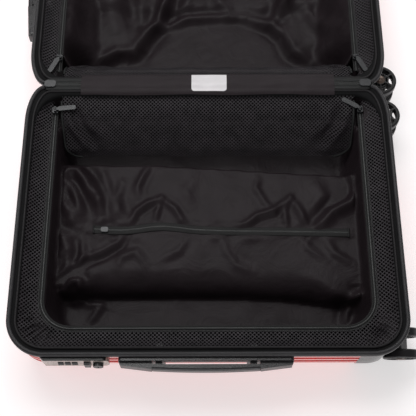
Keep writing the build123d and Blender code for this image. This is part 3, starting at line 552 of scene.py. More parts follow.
def border_height(spots):
    """The border's height: from the piping down to the track, gathered at the corners."""
    outer = inside(spots, BORDER_OUT, PIPING_NEAR - 1.5, 37.5, 37.5)
    inner = -inside(spots, BORDER_IN, TRACK_END + 60, 42.8, 42.8)
    share = np.clip(outer / np.maximum(outer + inner, 1e-3), 0, 1)
    x, y = np.abs(spots[:, 0]), spots[:, 1]
    turn = np.arctan2(y - (FAR + 60.0), x - 190.0)
    gather = np.exp(-((turn + math.pi / 4) / 0.62) ** 2) * np.sin(turn * 27.0 + np.sin(turn * 9.0))
    sag = np.sin(share * math.pi)
    height = BORDER_TOP + (BORDER_LOW - BORDER_TOP) * share ** 0.85
    return height - 2.0 * sag + sag * (2.1 * gather + 1.2 * ripples(spots, 3, 60.0))


def border_cells(cells):
    """The cells between the piping and the track."""
    outer = inside(cells, BORDER_OUT, PIPING_NEAR - 1.5, 37.5, 37.5)
    inner = inside(cells, BORDER_IN, TRACK_END + 60, 42.8, 42.8)
    return (outer > -0.5) & (inner < 1.5) & (cells[:, 1] < -13.0)


flat, crown, faces = net(((-245, 245), (FAR + 10, -12), border_cells))
points = np.column_stack([flat, border_height(flat) + crown])
# The band is cut 30 mm deep and as long as three sides of the rim; its holes are half of it.
for half, side in HALVES.items():
    band = piece(f"{half}_net_border", points, faces, net_thread, half, side)
    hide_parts(f"{half}_mesh_border")

# ---------------------------------------------------------------- linings
# One loose sheet of thin black polyester lines each half, sewn in at the piping and behind the
# track. The base's is raised over the handle tubes in a long flat cover that bunches at its ends.
LINING_FLOOR = 8.0
COVER_TOP = 40.0
CASTER_REACH = 161.25    # the case's middle to a swivel axis, across
POCKET_CROWN, POCKET_RADIUS, POCKET_START = 42.0, 41.8, 213.5
NEAR_EDGE = [(-220, -96), (-185, -95), (-83, -97), (3, -102), (101, -109), (173, -113), (220, -117)]
FAR_EDGE = [(-220, -293), (-170, -291), (-45, -289), (50, -291), (110, -294), (157, -301), (220, -305)]
ZIP_LINE = [(-170, -198), (-150, -200), (-122, -202), (-98, -200), (-70, -195), (-45, -197),
            (-20, -201), (30, -203), (110, -204), (205, -206)]
# Each fold: its line, its height and half-width, and how deep a valley lies along its left.
BASE_FOLDS = [
    ([(-205, -138), (-206, -120), (-196, -111), (-184, -112), (-174, -126), (-167, -140), (-154, -157)],
     12, 8.7, 0.49),
    ([(-198, -124), (-190, -138), (-181, -160), (-174, -184)], 7.2, 7.2, 0.42),
    ([(-207, -140), (-203, -158), (-190, -176), (-184, -196)], 5.6, 8.7, 0.28),
    ([(-83, -100), (-92, -117), (-99, -135), (-98, -150)], 3.2, 5.1, 0.63),
    ([(-122, -128), (-127, -150), (-122, -173), (-109, -193)], 3.6, 6.5, 0.56),
    ([(-152, -106), (-141, -139), (-132, -170), (-125, -193)], 4, 7.2, 0.56),
    ([(-170, -116), (-159, -131), (-152, -152), (-147, -183)], 4.8, 7.2, 0.49),
    ([(-65, -153), (-85, -161), (-100, -173), (-109, -193)], 4, 4.9, 0.56),
    ([(-65, -153), (-46, -169), (-32, -193)], 3.6, 4.9, 0.49),
    ([(-65, -153), (-70, -171), (-73, -189)], 2.9, 4.3, 0.56),
    ([(-108, -207), (-118, -225), (-140, -240), (-164, -249), (-192, -271), (-216, -294)], -5.6, 5.2, -0.63),
    ([(-214, -196), (-199, -212), (-195, -229), (-203, -244)], 5.6, 7.2, 0.35),
    ([(-191, -207), (-187, -229), (-193, -260)], 4, 5.8, 0.56),
    ([(-174, -214), (-170, -239), (-176, -260)], 3.2, 5.8, 0.56),
    ([(-124, -256), (-117, -240), (-98, -233), (-85, -250)], 2.4, 5.8, 0.42),
    ([(115, -152), (102, -163), (91, -173), (68, -180), (44, -199)], 4.4, 5.2, 0.63),
    ([(115, -152), (127, -173), (139, -203)], 4, 5.8, 0.42),
    ([(115, -152), (106, -173), (109, -201)], 3, 4.3, 0.56),
    ([(70, -122), (67, -137), (79, -159), (92, -174)], 2.7, 4.9, 0.49),
    ([(200, -114), (208, -130), (208, -148), (197, -162), (171, -176), (145, -205)], 8.8, 8, -0.77),
    ([(200, -100), (206, -116), (209, -136), (206, -164)], 6.4, 7.2, 0.35),
    ([(-192, -285), (-184, -275), (-173, -276), (-171, -288), (-181, -293)], 7.2, 5.8, 0.49),
    ([(-219, -291), (-190, -293), (-146, -299), (-155, -315), (-164, -328)], 3.6, 5.8, 0.42),
    ([(192, -302), (205, -298), (222, -289)], 9.6, 8.7, 0.56),
    ([(184, -330), (187, -312), (194, -302), (204, -296)], 4.8, 5.8, 0.56),
    ([(20, -214), (24, -232), (38, -252), (60, -262)], 2.1, 5.8, 0.56),
    ([(128, -212), (136, -228), (158, -246)], 2.4, 5.8, 0.56),
    ([(-30, -214), (-40, -232), (-66, -246)], 2.1, 5.8, 0.49),
    ([(160, -214), (172, -236), (196, -252)], 2.7, 5.8, 0.56),
    ([(-15, -118), (-30, -140), (-25, -165)], 1.6, 8.7, 0.42),
    ([(150, -125), (160, -150), (140, -175)], 2.4, 8.7, 0.42),
]
LID_FOLDS = [
    ([(-114, 106), (-98, 135), (-79, 165), (-66, 200), (-60, 250)], 11, 9.6, -0.56),
    ([(-114, 110), (-140, 107), (-162, 96), (-180, 80)], 7.6, 9.6, 0.63),
    ([(-100, 147), (-59, 161), (-30, 172), (14, 176), (60, 176)], 6.8, 8, 0.56),
    ([(-105, 230), (-105, 156), (-111, 112)], 5.1, 11.2, 0.42),
    ([(-210, 190), (-205, 136), (-214, 96)], 5.1, 11.2, 0.35),
    ([(-160, 260), (-150, 190), (-140, 130)], 4.2, 14.4, 0.35),
    ([(60, 176), (100, 160), (120, 140), (132, 110), (160, 90)], 8.5, 9.6, -0.63),
    ([(100, 160), (118, 190), (140, 240)], 6.8, 9.6, 0.56),
    ([(40, 178), (20, 200), (10, 240)], 4.2, 9.6, 0.49),
    ([(150, 190), (170, 150), (200, 120)], 6, 9.6, 0.56),
    ([(-40, 178), (-30, 210), (-45, 250)], 3.4, 9.6, 0.56),
    ([(-180, 300), (-120, 290), (-60, 300)], 3.4, 12.8, 0.42),
    ([(60, 300), (120, 280), (190, 300)], 4.2, 12.8, 0.42),
]


def smooth(value):
    """An even ease from 0 to 1."""
    value = np.clip(value, 0, 1)
    return value * value * (3 - 2 * value)


def fold(spots, line, height, width, valley):
    """A soft ridge along a line, thinning out at both ends, with a valley beside it."""
    knots = np.asarray(line, float)
    lengths = np.linalg.norm(np.diff(knots, axis=0), axis=1)
    starts = np.r_[0, np.cumsum(lengths)]
    nearest = np.full(len(spots), 1e9)
    share, across = np.zeros(len(spots)), np.zeros(len(spots))
    for i, length in enumerate(lengths):
        way = (knots[i + 1] - knots[i]) / length
        gap = spots - knots[i]
        along = np.clip(gap @ way, 0, length)
        off = gap - along[:, None] * way
        distance = np.linalg.norm(off, axis=1)
        closer = distance < nearest
        nearest = np.where(closer, distance, nearest)
        share = np.where(closer, (starts[i] + along) / starts[-1], share)
        turn = way[0] * gap[:, 1] - way[1] * gap[:, 0]
        across = np.where(closer, np.sign(turn) * distance, across)
    taper = np.sqrt(np.clip(np.sin(np.pi * np.clip(share, 0.03, 0.97)), 0, 1))
    side_sign = 1 if valley > 0 else -1
    dip = np.exp(-(((across * side_sign) - 1.7 * width) / width) ** 2)
    return taper * height * (np.exp(-((nearest / width) ** 2)) - abs(valley) * 0.6 * dip)


def larger(a, b, ease):
    """The larger of two heights, with its corner eased."""
    mix = np.clip(0.5 + 0.5 * (a - b) / ease, 0, 1)
    return b + (a - b) * mix + ease * mix * (1 - mix)


def tray_height(spots, slack):
    """The lining without its cover: in at the piping, behind the net, over the track's edge.

    slack is how far in from the track the cloth takes to come down to the floor.
    """
    from_rim = inside(spots, 12.6, -12.0, 37.4, 37.4)
    from_track = inside(spots, 42.8, -44.0, 36.5, 30.0)
    behind = 90.0 - 42.0 * smooth(from_rim / 14.0)
    lip = 79.0 - 15.0 * smooth((spots[:, 1] + 62.0) / 20.0)
    outer = behind + (lip - behind) * smooth((from_track + 7.0) / 5.0)
    wall = np.exp(-((np.maximum(from_track + 2.0, 0) / slack) ** 1.5))
    lip = lip + 2.2 * ripples(spots, 31, 15.0) * np.exp(-(((from_track - 1.0) / 4.0) ** 2))
    return np.where(from_track < -2, outer, LINING_FLOOR + (lip - LINING_FLOOR) * wall), from_track


def over_casters(spots):
    """The least height that clears the round pockets the two casters turn in."""
    middle = (NEAR + FAR) / 2
    off = np.abs(np.abs(spots[:, 1] - middle) - CASTER_REACH)
    crown = POCKET_CROWN + np.sqrt(np.maximum(POCKET_RADIUS ** 2 - off ** 2, 0))
    return np.where(off < POCKET_RADIUS, crown, 0) * smooth((spots[:, 0] - POCKET_START) / 4.0)


def base_height(spots):
    """The base's lining, with the flat cover over the handle tubes."""
    height, from_track = tray_height(spots, 9.0)
    x, y = spots[:, 0], spots[:, 1]
    near, far = np.interp(x, *zip(*NEAR_EDGE)), np.interp(x, *zip(*FAR_EDGE))
    zip_y = np.interp(x, *zip(*ZIP_LINE))
    front = 1 - np.clip((y - far) / (34.0 - 21.0 * smooth((np.abs(x) - 140) / 34)), 0, 1)
    cover = smooth((near - y + 1.0) / 4.5) * np.sqrt(1 - front ** 2)
    crown = 1.2 * np.sin(np.clip((near - y) / (near - far), 0, 1) * math.pi)
    height = larger(height, LINING_FLOOR + (COVER_TOP - LINING_FLOOR + crown) * cover, 5.0)
    inner = smooth((from_track - 1.0) / 10.0)
    by_zip = 1 - np.exp(-(((y - zip_y) / 6.5) ** 2)) * smooth((x + 175) / 10) * smooth((205 - x) / 10)
    relief = 1.25 * sum(fold(spots, *one) for one in BASE_FOLDS)
    relief = relief + 1.7 * ripples(spots, 11, 70.0) + 0.6 * ripples(spots, 12, 27.0)
    off_zip = np.abs(y - zip_y)
    pucker = np.exp(-(((off_zip - 10.0) / 5.0) ** 2)) * (off_zip > 4)
    wander = x / 8.5 + 1.6 * np.sin(x / 23.0) + np.where(y > zip_y, 1.3, 0.0)
    relief = relief + pucker * 1.1 * np.sin(wander) * (1 + 0.6 * np.sin(x / 31.0))
    height = height + relief * inner * np.clip(by_zip, 0, 1)
    over_tubes = (y < -120) & (y > np.where(np.abs(x) > 176, -280, -273))
    least = np.where(over_tubes, 35.5 + 4.1 * smooth((np.abs(x) - 150) / 24), 5.5)
    return np.maximum(np.where(from_track > 1, np.maximum(height, least), height), over_casters(spots))


def lid_height(spots):
    """The lid's lining: flat in the middle, with loose cloth thrown up at both ends."""
    x, y = spots[:, 0], -spots[:, 1]
    slack = 9.0 + 26.0 * smooth((np.abs(x) - 130) / 50) * smooth((y - 70) / 40)
    height, from_track = tray_height(spots, slack)
    left = smooth((-x - 92 - 0.25 * (y - 110)) / 30) * smooth((y - 80) / 50)
    right = smooth((x - 118 + 0.25 * (y - 110)) / 30) * smooth((y - 80) / 50)
    back = smooth((y - 172) / 24)
    loose = 14.0 * left + 14.0 * right + 8.0 * back
    height = larger(height, LINING_FLOOR + loose, 6.0)
    inner = smooth((from_track - 1.0) / 12.0)
    turned = np.column_stack([x, y])
    relief = 1.25 * sum(fold(turned, *one) for one in LID_FOLDS)
    relief = relief + 1.6 * ripples(turned, 21, 60.0) * (0.3 + left + right + back)
    relief = relief + 0.5 * ripples(turned, 22, 24.0)
    height = np.where(from_track > 1, np.maximum(height + relief * inner, 5.5), height)
    return np.maximum(height, over_casters(spots))


def squared(inset, near, radius, step):
    """A grid of cells over the base half's rounded outline, and its points and faces."""
    half, far = HALF_LENGTH - inset, FAR + inset
    edge = np.array([0, 0.8, 2.0, 3.6, 5.6])

    def marks(low, high):
        count = int((high - low - 2 * edge[-1]) / step)
        middle = np.linspace(low + edge[-1], high - edge[-1], count)
        return np.r_[low + edge[:-1], middle, (high - edge[:-1])[::-1]]

    xs, ys = np.meshgrid(marks(-half, half), marks(far, near), indexing="ij")
    middle = (near + far) / 2
    over_x = np.maximum(np.abs(xs) - (half - radius), 0) / radius
    over_y = np.maximum(np.abs(ys - middle) - ((near - far) / 2 - radius), 0) / radius
    corner = (over_x > 0) & (over_y > 0)
    shift_x = over_x * np.sqrt(1 - over_y ** 2 / 2) - over_x
    shift_y = over_y * np.sqrt(1 - over_x ** 2 / 2) - over_y
    xs = xs + np.where(corner, np.sign(xs) * shift_x * radius, 0)
    ys = ys + np.where(corner, np.sign(ys - middle) * shift_y * radius, 0)
    return np.column_stack([xs.ravel(), ys.ravel()]), grid_faces(*xs.shape)


lining_cloth, tree, shader = tree_of("lining_cloth")
threads = use(tree, weave, Thread=1100.0, Dark=colour(19, 14, 16), Light=colour(34, 28, 31))
creases = put(tree, "ShaderNodeTexNoise", Scale=26.0, Detail=5.0, Roughness=0.55, Distortion=1.4)
spots = put(tree, "ShaderNodeTexCoord")
tree.links.new(spots.outputs["Object"], creases.inputs["Vector"])
crumple = put(tree, "ShaderNodeBump", Strength=0.35, Distance=0.004)
fine = put(tree, "ShaderNodeBump", Strength=0.3, Distance=0.0001)
tree.links.new(creases.outputs["Fac"], crumple.inputs["Height"])
tree.links.new(threads.outputs["Height"], fine.inputs["Height"])
tree.links.new(crumple.outputs["Normal"], fine.inputs["Normal"])
tree.links.new(fine.outputs["Normal"], shader.inputs["Normal"])
tree.links.new(threads.outputs["Color"], shader.inputs["Base Color"])
shader.inputs["Roughness"].default_value = 0.45
shader.inputs["Specular IOR Level"].default_value = 0.12

# Each half's cloth is cut from a rectangle that runs down one wall, across and up the other.
flat, faces = squared(12.8, -12.2, 37.2, 2.3)
for half, side in HALVES.items():
    height = base_height(flat) if half == "base" else lid_height(flat)
    sheet = piece(f"{half}_lining_cloth", np.column_stack([flat, height]), faces, lining_cloth, half, side)
    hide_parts(f"{half}_lining")

# ---------------------------------------------------------------- cover's zip
# A fine nylon zip lets a hand in to the handle tubes. Its tape is stitched along both edges,
# which puckers the thin cloth, and a bar tack closes each end.
ZIP_ENDS = (-157.0, 193.0)
zip_x = np.linspace(*ZIP_ENDS, 180)
zip_spots = np.column_stack([zip_x, np.interp(zip_x, *zip(*ZIP_LINE))])
smoothing = np.ones(15) / 15
padded_y = np.r_[np.full(7, zip_spots[0, 1]), zip_spots[:, 1], np.full(7, zip_spots[-1, 1])]
zip_spots[:, 1] = np.convolve(padded_y, smoothing, "valid")
zip_line = (zip_spots, np.tile([0.0, -1.0], (len(zip_x), 1)))
lift = base_height(zip_spots)
outline = [(6.0, 0.5), (5.2, 0.9), (2.2, 1.0), (-2.2, 1.0), (-5.2, 0.9), (-6.0, 0.5), (-6.0, 0.0), (6.0, 0.0)]
points, faces = swept(zip_line, outline, lift)
tape = piece("lining_zip_tape", points, faces, track_cloth, "base")
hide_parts("lining_zip")
teeth = evenly(zip_line, TOOTH)
wave = np.where(np.arange(len(teeth[0])) % 2, 0.0, -0.3) + base_height(teeth[0])
points, faces = swept(teeth, bead(2.8, 2.3, 0.9, 6), wave)
piece("lining_zip_coil", points, faces, coil_nylon, "base")
for name, x in zip(("start", "end"), ZIP_ENDS):
    y = float(np.interp(x, *zip(*ZIP_LINE)))
    z = float(base_height(np.array([[x, y]]))[0])
    spots = (np.array([[x, y + 6.5], [x, y - 6.5]]), np.array([[1.0, 0.0], [1.0, 0.0]]))
    points, faces = swept(evenly(spots, 1.2), bead(3.2, z + 1.9, z + 0.4, 6))
    piece(f"lining_zip_tack_{name}", points, faces, track_cloth, "base")

# ---------------------------------------------------------------- mesh dividers
# Each divider is a net panel with a bound edge that carries the other half of the track's zip.
# Both are unzipped and tucked down beside the hinge, so only the part near it shows.
DIVIDER_SHAPE = {
    "base": [(13.5, 90.0), (18, 87.6), (30, 86.0), (44, 81.0), (56, 69.5), (66, 55.5), (76, 43.0),
             (81, 30.0)],
    "lid": [(13.5, 90.0), (18, 87.4), (30, 85.0), (40, 77.5), (47, 64.0), (58, 49.0), (64, 34.0)],
}
DIVIDER_HALF = 206.0
DIVIDER_CORNER = 24.0


def on_divider(flat, profile, seed):
    """Places points of (along the hinge, down the panel) on a divider's curve."""
    knots = np.asarray(profile, float)
    travel = np.r_[0, np.cumsum(np.linalg.norm(np.diff(knots, axis=0), axis=1))]
    fine = np.linspace(0, travel[-1], 200)
    ys, zs = np.interp(fine, travel, knots[:, 0]), np.interp(fine, travel, knots[:, 1])
    kernel = np.hanning(31) / np.hanning(31).sum()
    ys = np.convolve(np.pad(ys, 15, mode="reflect", reflect_type="odd"), kernel, "valid")
    zs = np.convolve(np.pad(zs, 15, mode="reflect", reflect_type="odd"), kernel, "valid")
    way_y, way_z = np.gradient(ys, fine), np.gradient(zs, fine)
    down = flat[:, 1]
    y, z = np.interp(down, fine, ys), np.interp(down, fine, zs)
    out_y, out_z = -np.interp(down, fine, way_z), np.interp(down, fine, way_y)
    belly = 1.6 * ripples(flat, seed, 75.0) + 0.7 * ripples(flat, seed + 1, 28.0)
    for sign in (-1, 1):
        outer = [(sign * 200, 20), (sign * 190, 48), (sign * 168, 84)]
        inner = [(sign * 176, 6), (sign * 168, 40), (sign * 140, 70)]
        belly = belly + fold(flat, outer, 5.0, 7.0, 0.9 * sign) + fold(flat, inner, 3.0, 8.0, 0.6 * sign)
    belly = belly * smooth((down - 6.0) / 14.0) * smooth((DIVIDER_HALF - np.abs(flat[:, 0])) / 6.0)
    return np.column_stack([flat[:, 0], -(y + out_y * belly), z + out_z * belly]), travel[-1]


net_edge = cloth("net_edge", 620.0, colour(16, 17, 17), colour(32, 33, 33), 0.5, 0.00015, 0.0)
for half, side in HALVES.items():
    profile = DIVIDER_SHAPE[half]
    depth = on_divider(np.zeros((1, 2)), profile, 5)[1]

    def in_panel(cells):
        x, s = np.abs(cells[:, 0]), cells[:, 1]
        edge = DIVIDER_HALF - 3.0 * s / depth
        dx, ds = x - (edge - DIVIDER_CORNER), s - (depth - DIVIDER_CORNER)
        return (x < edge - 1) & ((dx < 0) | (ds < 0) | (np.hypot(dx, ds) < DIVIDER_CORNER - 1))

    flat, crown, faces = net(((-DIVIDER_HALF, DIVIDER_HALF), (0.5, depth), in_panel))
    points, _ = on_divider(flat, profile, 5)
    points[:, 2] += crown
    panel = piece(f"{half}_divider_net", points, faces, net_thread, half, side)
    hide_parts(f"{half}_divider")
    turns = np.radians(np.linspace(0, 90, 12))
    low = depth - DIVIDER_CORNER
    x_low = DIVIDER_HALF - 3.0 * low / depth - DIVIDER_CORNER
    corner = [(x_low + DIVIDER_CORNER * math.cos(t), low + DIVIDER_CORNER * math.sin(t)) for t in turns]
    edge = np.array([(DIVIDER_HALF, 10.0), (DIVIDER_HALF - 1.0, low / 2)] + corner)
    edge_line = evenly((edge, np.tile([1.0, 0.0], (len(edge), 1))), 2.5)[0]
    binding = bpy.data.curves.new(f"{half}_divider_binding", "CURVE")
    binding.dimensions = "3D"
    binding.bevel_depth = 1.7 * MM
    binding.bevel_resolution = 3
    for end in (-1, 1):
        rail, _ = on_divider(edge_line * [end, 1], profile, 5)
        run = binding.splines.new("POLY")
        run.points.add(len(rail) - 1)
        for knot, place in zip(run.points, rail):
            knot.co = (*((place * [1, side, 1]) * MM + ORIGIN), 1)
    binding.materials.append(net_edge)
    bound = bpy.data.objects.new(f"{half}_divider_binding", binding)
    bpy.context.scene.collection.objects.link(bound)
    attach(bound, half)

# ---------------------------------------------------------------- hinge zip
# The two halves are joined by a closed zip that folds along its own teeth. Its coils are hooked
# together along the hinge line, and each tape is sewn to its own half.
for name, y in (("base_coil", -1.45), ("lid_coil", 1.45)):
    line = (np.array([[-225.0, y], [225.0, y]]), np.array([[0.0, -1.0], [0.0, -1.0]]))
    points, faces = coil(line, 2.7, 97.7, 0.8, 0.4)
    chain = piece(f"hinge_{name}", points, faces, coil_nylon, "hinge_zip")
    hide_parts("hinge_zip_chain")
for half, side in HALVES.items():
    line = (np.array([[-228.0, 0.0], [228.0, 0.0]]), np.array([[0.0, -1.0], [0.0, -1.0]]))
    outline = [(3.2, 96.9), (4.4, 97.2), (4.9, 96.9), (7.6, 96.8), (8.2, 97.1), (9.2, 96.4),
               (9.0, 95.6), (3.2, 96.0)]
    points, faces = swept(evenly(line, 3.0), outline)
    piece(f"{half}_hinge_tape", points, faces, net_edge, half, side)

# ---------------------------------------------------------------- hinge sleeve and care label
# A folded strip of the lining's cloth covers the hinge between the main sliders. A blank satin
# label is stitched across its middle.
SLEEVE_HALF = 178.5


def sleeve_height(x, y):
    """The sleeve's crown over the hinge, low where it tucks in beside the piping."""
    off = np.abs(y)
    crown = np.interp(off, [0, 3, 6, 8, 12, 15, 17], [98.7, 98.5, 97.9, 97.4, 97.0, 96.0, 94.4])
    spots = np.column_stack([np.ravel(x), np.ravel(y)])
    wander = ripples(spots * [1.0, 1.6], 41, 34.0) + 0.6 * ripples(spots * [1.0, 0.7], 42, 17.0)
    return crown + wander.reshape(np.shape(x)) * (0.5 + 0.5 * smooth((8.0 - off) / 5)) * 0.75


sleeve_cloth = cloth("sleeve_cloth", 1000.0, colour(24, 19, 21), colour(40, 34, 37), 0.48, 0.0001, 0.0, 0.14)
xs, ys = np.meshgrid(np.linspace(-SLEEVE_HALF, SLEEVE_HALF, 182), np.linspace(-16.8, 16.8, 30), indexing="ij")
edge_wave = 1 + 0.03 * np.sin(xs / 21.0) * (np.abs(ys) / 16.8)
ys = ys * edge_wave
faces = grid_faces(*xs.shape)
points = np.column_stack([xs.ravel(), ys.ravel(), sleeve_height(xs, ys).ravel()])
sleeve = piece("hinge_sleeve", points, faces, sleeve_cloth)
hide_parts("base_sleeve_half", "lid_sleeve_half")
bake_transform(sleeve)

satin, tree, shader = tree_of("satin")
threads = use(tree, weave, Thread=1600.0, Dark=colour(188, 186, 188), Light=colour(213, 210, 212))
tree.links.new(threads.outputs["Color"], shader.inputs["Base Color"])
bumped(tree, shader, threads.outputs["Height"], 0.00005)
shader.inputs["Roughness"].default_value = 0.38
shader.inputs["Sheen Weight"].default_value = 0.3
LABEL_X, LABEL_Y = (-22.8, 26.7), (-12.3, 14.8)
across, deep = np.linspace(*LABEL_X, 40), np.linspace(*LABEL_Y, 26)
xs, ys = np.meshgrid(across, deep, indexing="ij")
corner = 4.0
over_x = np.maximum(np.abs(xs - sum(LABEL_X) / 2) - (LABEL_X[1] - LABEL_X[0]) / 2 + corner, 0) / corner
over_y = np.maximum(LABEL_Y[0] + corner - ys, 0) / corner
pull = over_x * (1 - np.sqrt(1 - np.clip(over_y, 0, 1) ** 2 / 2))
xs = xs - np.sign(xs - sum(LABEL_X) / 2) * pull * corner
ys = ys + over_y * (1 - np.sqrt(1 - np.clip(over_x, 0, 1) ** 2 / 2)) * corner
faces = grid_faces(*xs.shape)
points = np.column_stack([xs.ravel(), ys.ravel(), (sleeve_height(xs, ys) + 0.4).ravel()])
label = piece("care_label", points, faces, satin)
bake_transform(label)

# ---------------------------------------------------------------- sliders and pullers
# Zinc sliders with flat pullers, painted a warm dark grey, with fine scuffs all over the paint.
slider_paint, tree, shader = tree_of("slider_paint")
tone = use(tree, mottle, Scale=120.0, Dark=colour(20, 22, 24), Light=colour(34, 35, 38))
wear = use(tree, scuffs, Scale=900.0, Low=0.3, High=0.5)
tree.links.new(tone.outputs["Color"], shader.inputs["Base Color"])
tree.links.new(wear.outputs["Roughness"], shader.inputs["Roughness"])
bumped(tree, shader, wear.outputs["Height"], 0.00005)
shader.inputs["Metallic"].default_value = 0.15
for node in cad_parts:
    if "slider" in node or "puller" in node:
        dress(node, slider_paint)

# ---------------------------------------------------------------- handles, housings and casters
# Injection-moulded black plastics: a finely grained one for the grips, brackets and corner
# housings, and a harder one for the forks and wheels.
grain, start, end = effect(
    "grain",
    [("Scale", FLOAT, 900.0), ("Dark", COLOUR, (0, 0, 0, 1)), ("Light", COLOUR, (1, 1, 1, 1)),
     ("Low", FLOAT, 0.3), ("High", FLOAT, 0.5)],
    [("Color", COLOUR), ("Roughness", FLOAT), ("Height", FLOAT)],
)
spots = put(grain, "ShaderNodeTexCoord")
pits = put(grain, "ShaderNodeTexVoronoi")
cloud = put(grain, "ShaderNodeTexNoise", Scale=30.0, Detail=4.0)
level = put(grain, "ShaderNodeMapRange", From_Min=0.3, From_Max=0.7)
pick = put(grain, "ShaderNodeMix", data_type="RGBA")
grain.links.new(spots.outputs["Object"], pits.inputs["Vector"])
grain.links.new(spots.outputs["Object"], cloud.inputs["Vector"])
grain.links.new(start.outputs["Scale"], pits.inputs["Scale"])
grain.links.new(cloud.outputs["Fac"], level.inputs["Value"])
grain.links.new(start.outputs["Low"], level.inputs["To Min"])
grain.links.new(start.outputs["High"], level.inputs["To Max"])
grain.links.new(cloud.outputs["Fac"], pick.inputs["Factor"])
grain.links.new(start.outputs["Dark"], pick.inputs[6])
grain.links.new(start.outputs["Light"], pick.inputs[7])
grain.links.new(pick.outputs[2], end.inputs["Color"])
grain.links.new(level.outputs["Result"], end.inputs["Roughness"])
grain.links.new(pits.outputs["Distance"], end.inputs["Height"])


def moulded(name, dark, light, low, high, gloss=0.35, scale=900.0, relief=0.00008):
    """A moulded plastic finish with a spark-eroded grain."""
    material, tree, shader = tree_of(name)
    skin = use(tree, grain, Scale=scale, Dark=dark, Light=light, Low=low, High=high)
    tree.links.new(skin.outputs["Color"], shader.inputs["Base Color"])
    tree.links.new(skin.outputs["Roughness"], shader.inputs["Roughness"])
    bumped(tree, shader, skin.outputs["Height"], relief)
    shader.inputs["Specular IOR Level"].default_value = gloss
    return material


handle_black = moulded("handle_black", colour(18, 17, 19), colour(30, 28, 31), 0.2, 0.34, 0.5)
housing_black = moulded("housing_black", colour(14, 14, 15), colour(26, 26, 27), 0.14, 0.28, 0.5)
wheel_black = moulded("wheel_black", colour(13, 13, 14), colour(25, 24, 26), 0.3, 0.45)
fork_grey = moulded("fork_grey", colour(32, 31, 33), colour(50, 49, 50), 0.35, 0.5)
tube_metal, tree, shader = tree_of("tube_metal")
wear = use(tree, scuffs, Scale=400.0, Low=0.22, High=0.4)
shader.inputs["Base Color"].default_value = colour(186, 187, 190)
shader.inputs["Metallic"].default_value = 1.0
tree.links.new(wear.outputs["Roughness"], shader.inputs["Roughness"])
bumped(tree, shader, wear.outputs["Height"], 0.00003)
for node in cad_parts:
    if "handle" in node or node in ("trolley_grip", "trolley_foot_bracket"):
        dress(node, handle_black)
    elif "housing" in node or node in ("trolley_cup", "trolley_button"):
        dress(node, housing_black)
    elif "fork" in node:
        dress(node, fork_grey)
    elif "wheels" in node:
        dress(node, wheel_black)
    elif "tubes" in node:
        dress(node, tube_metal)

# ---------------------------------------------------------------- wheel hubs
# Each wheel has a moulded ring tying its spokes together and a pressed cap over the axle's end.
HUB_FACE = 19.75
AXLES = {
    "base_hinge": (0.0, 0.0, 1.0), "lid_hinge": (0.0, 0.0, 1.0), "lid_side": (0.0, 1.0, 0.0),
    "base_side": (0.0, math.cos(math.radians(11)), math.sin(math.radians(11))),
}
HUB_RING = [(10.6, -1.2), (12.4, -1.2), (12.8, -1.8), (12.8, -9.0), (10.2, -9.0), (10.2, -1.8)]
HUB_CAP = [(0.0, 0.8), (4.4, 0.8), (5.0, 0.4), (6.2, 0.4), (6.9, 0.0), (7.2, -1.0), (0.0, -1.0)]


def lathe(outline, centre, axle, face, count=36):
    """An outline of (radius, along) turned about an axle, at this distance along it."""
    way = Vector(axle)
    side_way = way.cross(Vector((1.0, 0.0, 0.0))).normalized()
    points = []
    for turn in np.linspace(0, math.tau, count, endpoint=False):
        spoke = math.cos(turn) * Vector((1.0, 0.0, 0.0)) + math.sin(turn) * side_way
        sign = 1 if face > 0 else -1
        points += [tuple(centre + spoke * r + way * (face + sign * a)) for r, a in outline]
    size = len(outline)
    faces = [
        (i * size + j, ((i + 1) % count) * size + j,
         ((i + 1) % count) * size + (j + 1) % size, i * size + (j + 1) % size)
        for i in range(count) for j in range(size)
    ]
    return points, faces


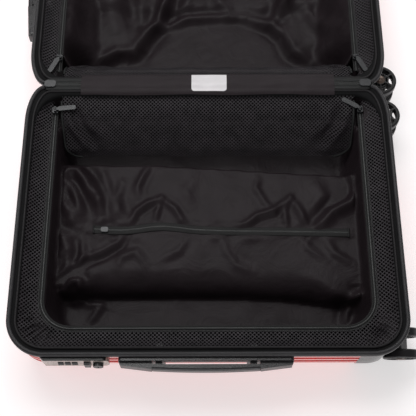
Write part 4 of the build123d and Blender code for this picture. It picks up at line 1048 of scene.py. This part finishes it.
cap_metal, tree, shader = tree_of("cap_metal")
tone = use(tree, mottle, Scale=300.0, Dark=colour(84, 72, 66), Light=colour(120, 106, 98))
wear = use(tree, scuffs, Scale=900.0, Low=0.25, High=0.45)
tree.links.new(tone.outputs["Color"], shader.inputs["Base Color"])
tree.links.new(wear.outputs["Roughness"], shader.inputs["Roughness"])
bumped(tree, shader, wear.outputs["Height"], 0.00003)
shader.inputs["Metallic"].default_value = 0.8
for corner, axle in AXLES.items():
    low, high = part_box(f"caster_wheels_{corner}")
    centre = Vector((np.array([*low]) + np.array([*high])) / 2 - ORIGIN) / MM
    for sign, place in ((-1, "low"), (1, "high")):
        for part, outline, material in (("ring", HUB_RING, wheel_black), ("cap", HUB_CAP, cap_metal)):
            points, faces = lathe(outline, centre, axle, sign * HUB_FACE)
            made = piece(f"hub_{part}_{corner}_{place}", points, faces, material, merge=True)
            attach(made, f"caster_wheels_{corner}")

# ---------------------------------------------------------------- combination lock
# A die-cast case in satin lacquer under a black top edge, with three serrated dials, a release
# button and a key core.
LOCK_TRIM_HEIGHT = 0.0895
lock_lacquer, tree, shader = tree_of("lock_lacquer")
tone = use(tree, mottle, Scale=90.0, Dark=colour(150, 138, 133), Light=colour(180, 168, 162))
wear = use(tree, scuffs, Scale=600.0, Low=0.24, High=0.4)
spots = put(tree, "ShaderNodeTexCoord")
height = put(tree, "ShaderNodeSeparateXYZ")
above = put(tree, "ShaderNodeMath", operation="GREATER_THAN")
above.inputs[1].default_value = LOCK_TRIM_HEIGHT
trim = put(tree, "ShaderNodeMix", data_type="RGBA")
trim.inputs[7].default_value = colour(22, 22, 22)
tree.links.new(spots.outputs["Object"], height.inputs["Vector"])
tree.links.new(height.outputs["Z"], above.inputs[0])
tree.links.new(above.outputs["Value"], trim.inputs["Factor"])
tree.links.new(tone.outputs["Color"], trim.inputs[6])
tree.links.new(trim.outputs[2], shader.inputs["Base Color"])
tree.links.new(wear.outputs["Roughness"], shader.inputs["Roughness"])
bumped(tree, shader, wear.outputs["Height"], 0.00005)
shader.inputs["Metallic"].default_value = 0.45
dial_black = moulded("dial_black", colour(22, 22, 23), colour(40, 40, 41), 0.2, 0.35)
dress("lock_case", lock_lacquer)
for node in ("lock_dial_1", "lock_dial_2", "lock_dial_3", "lock_release_button", "lock_key_core"):
    dress(node, dial_black)
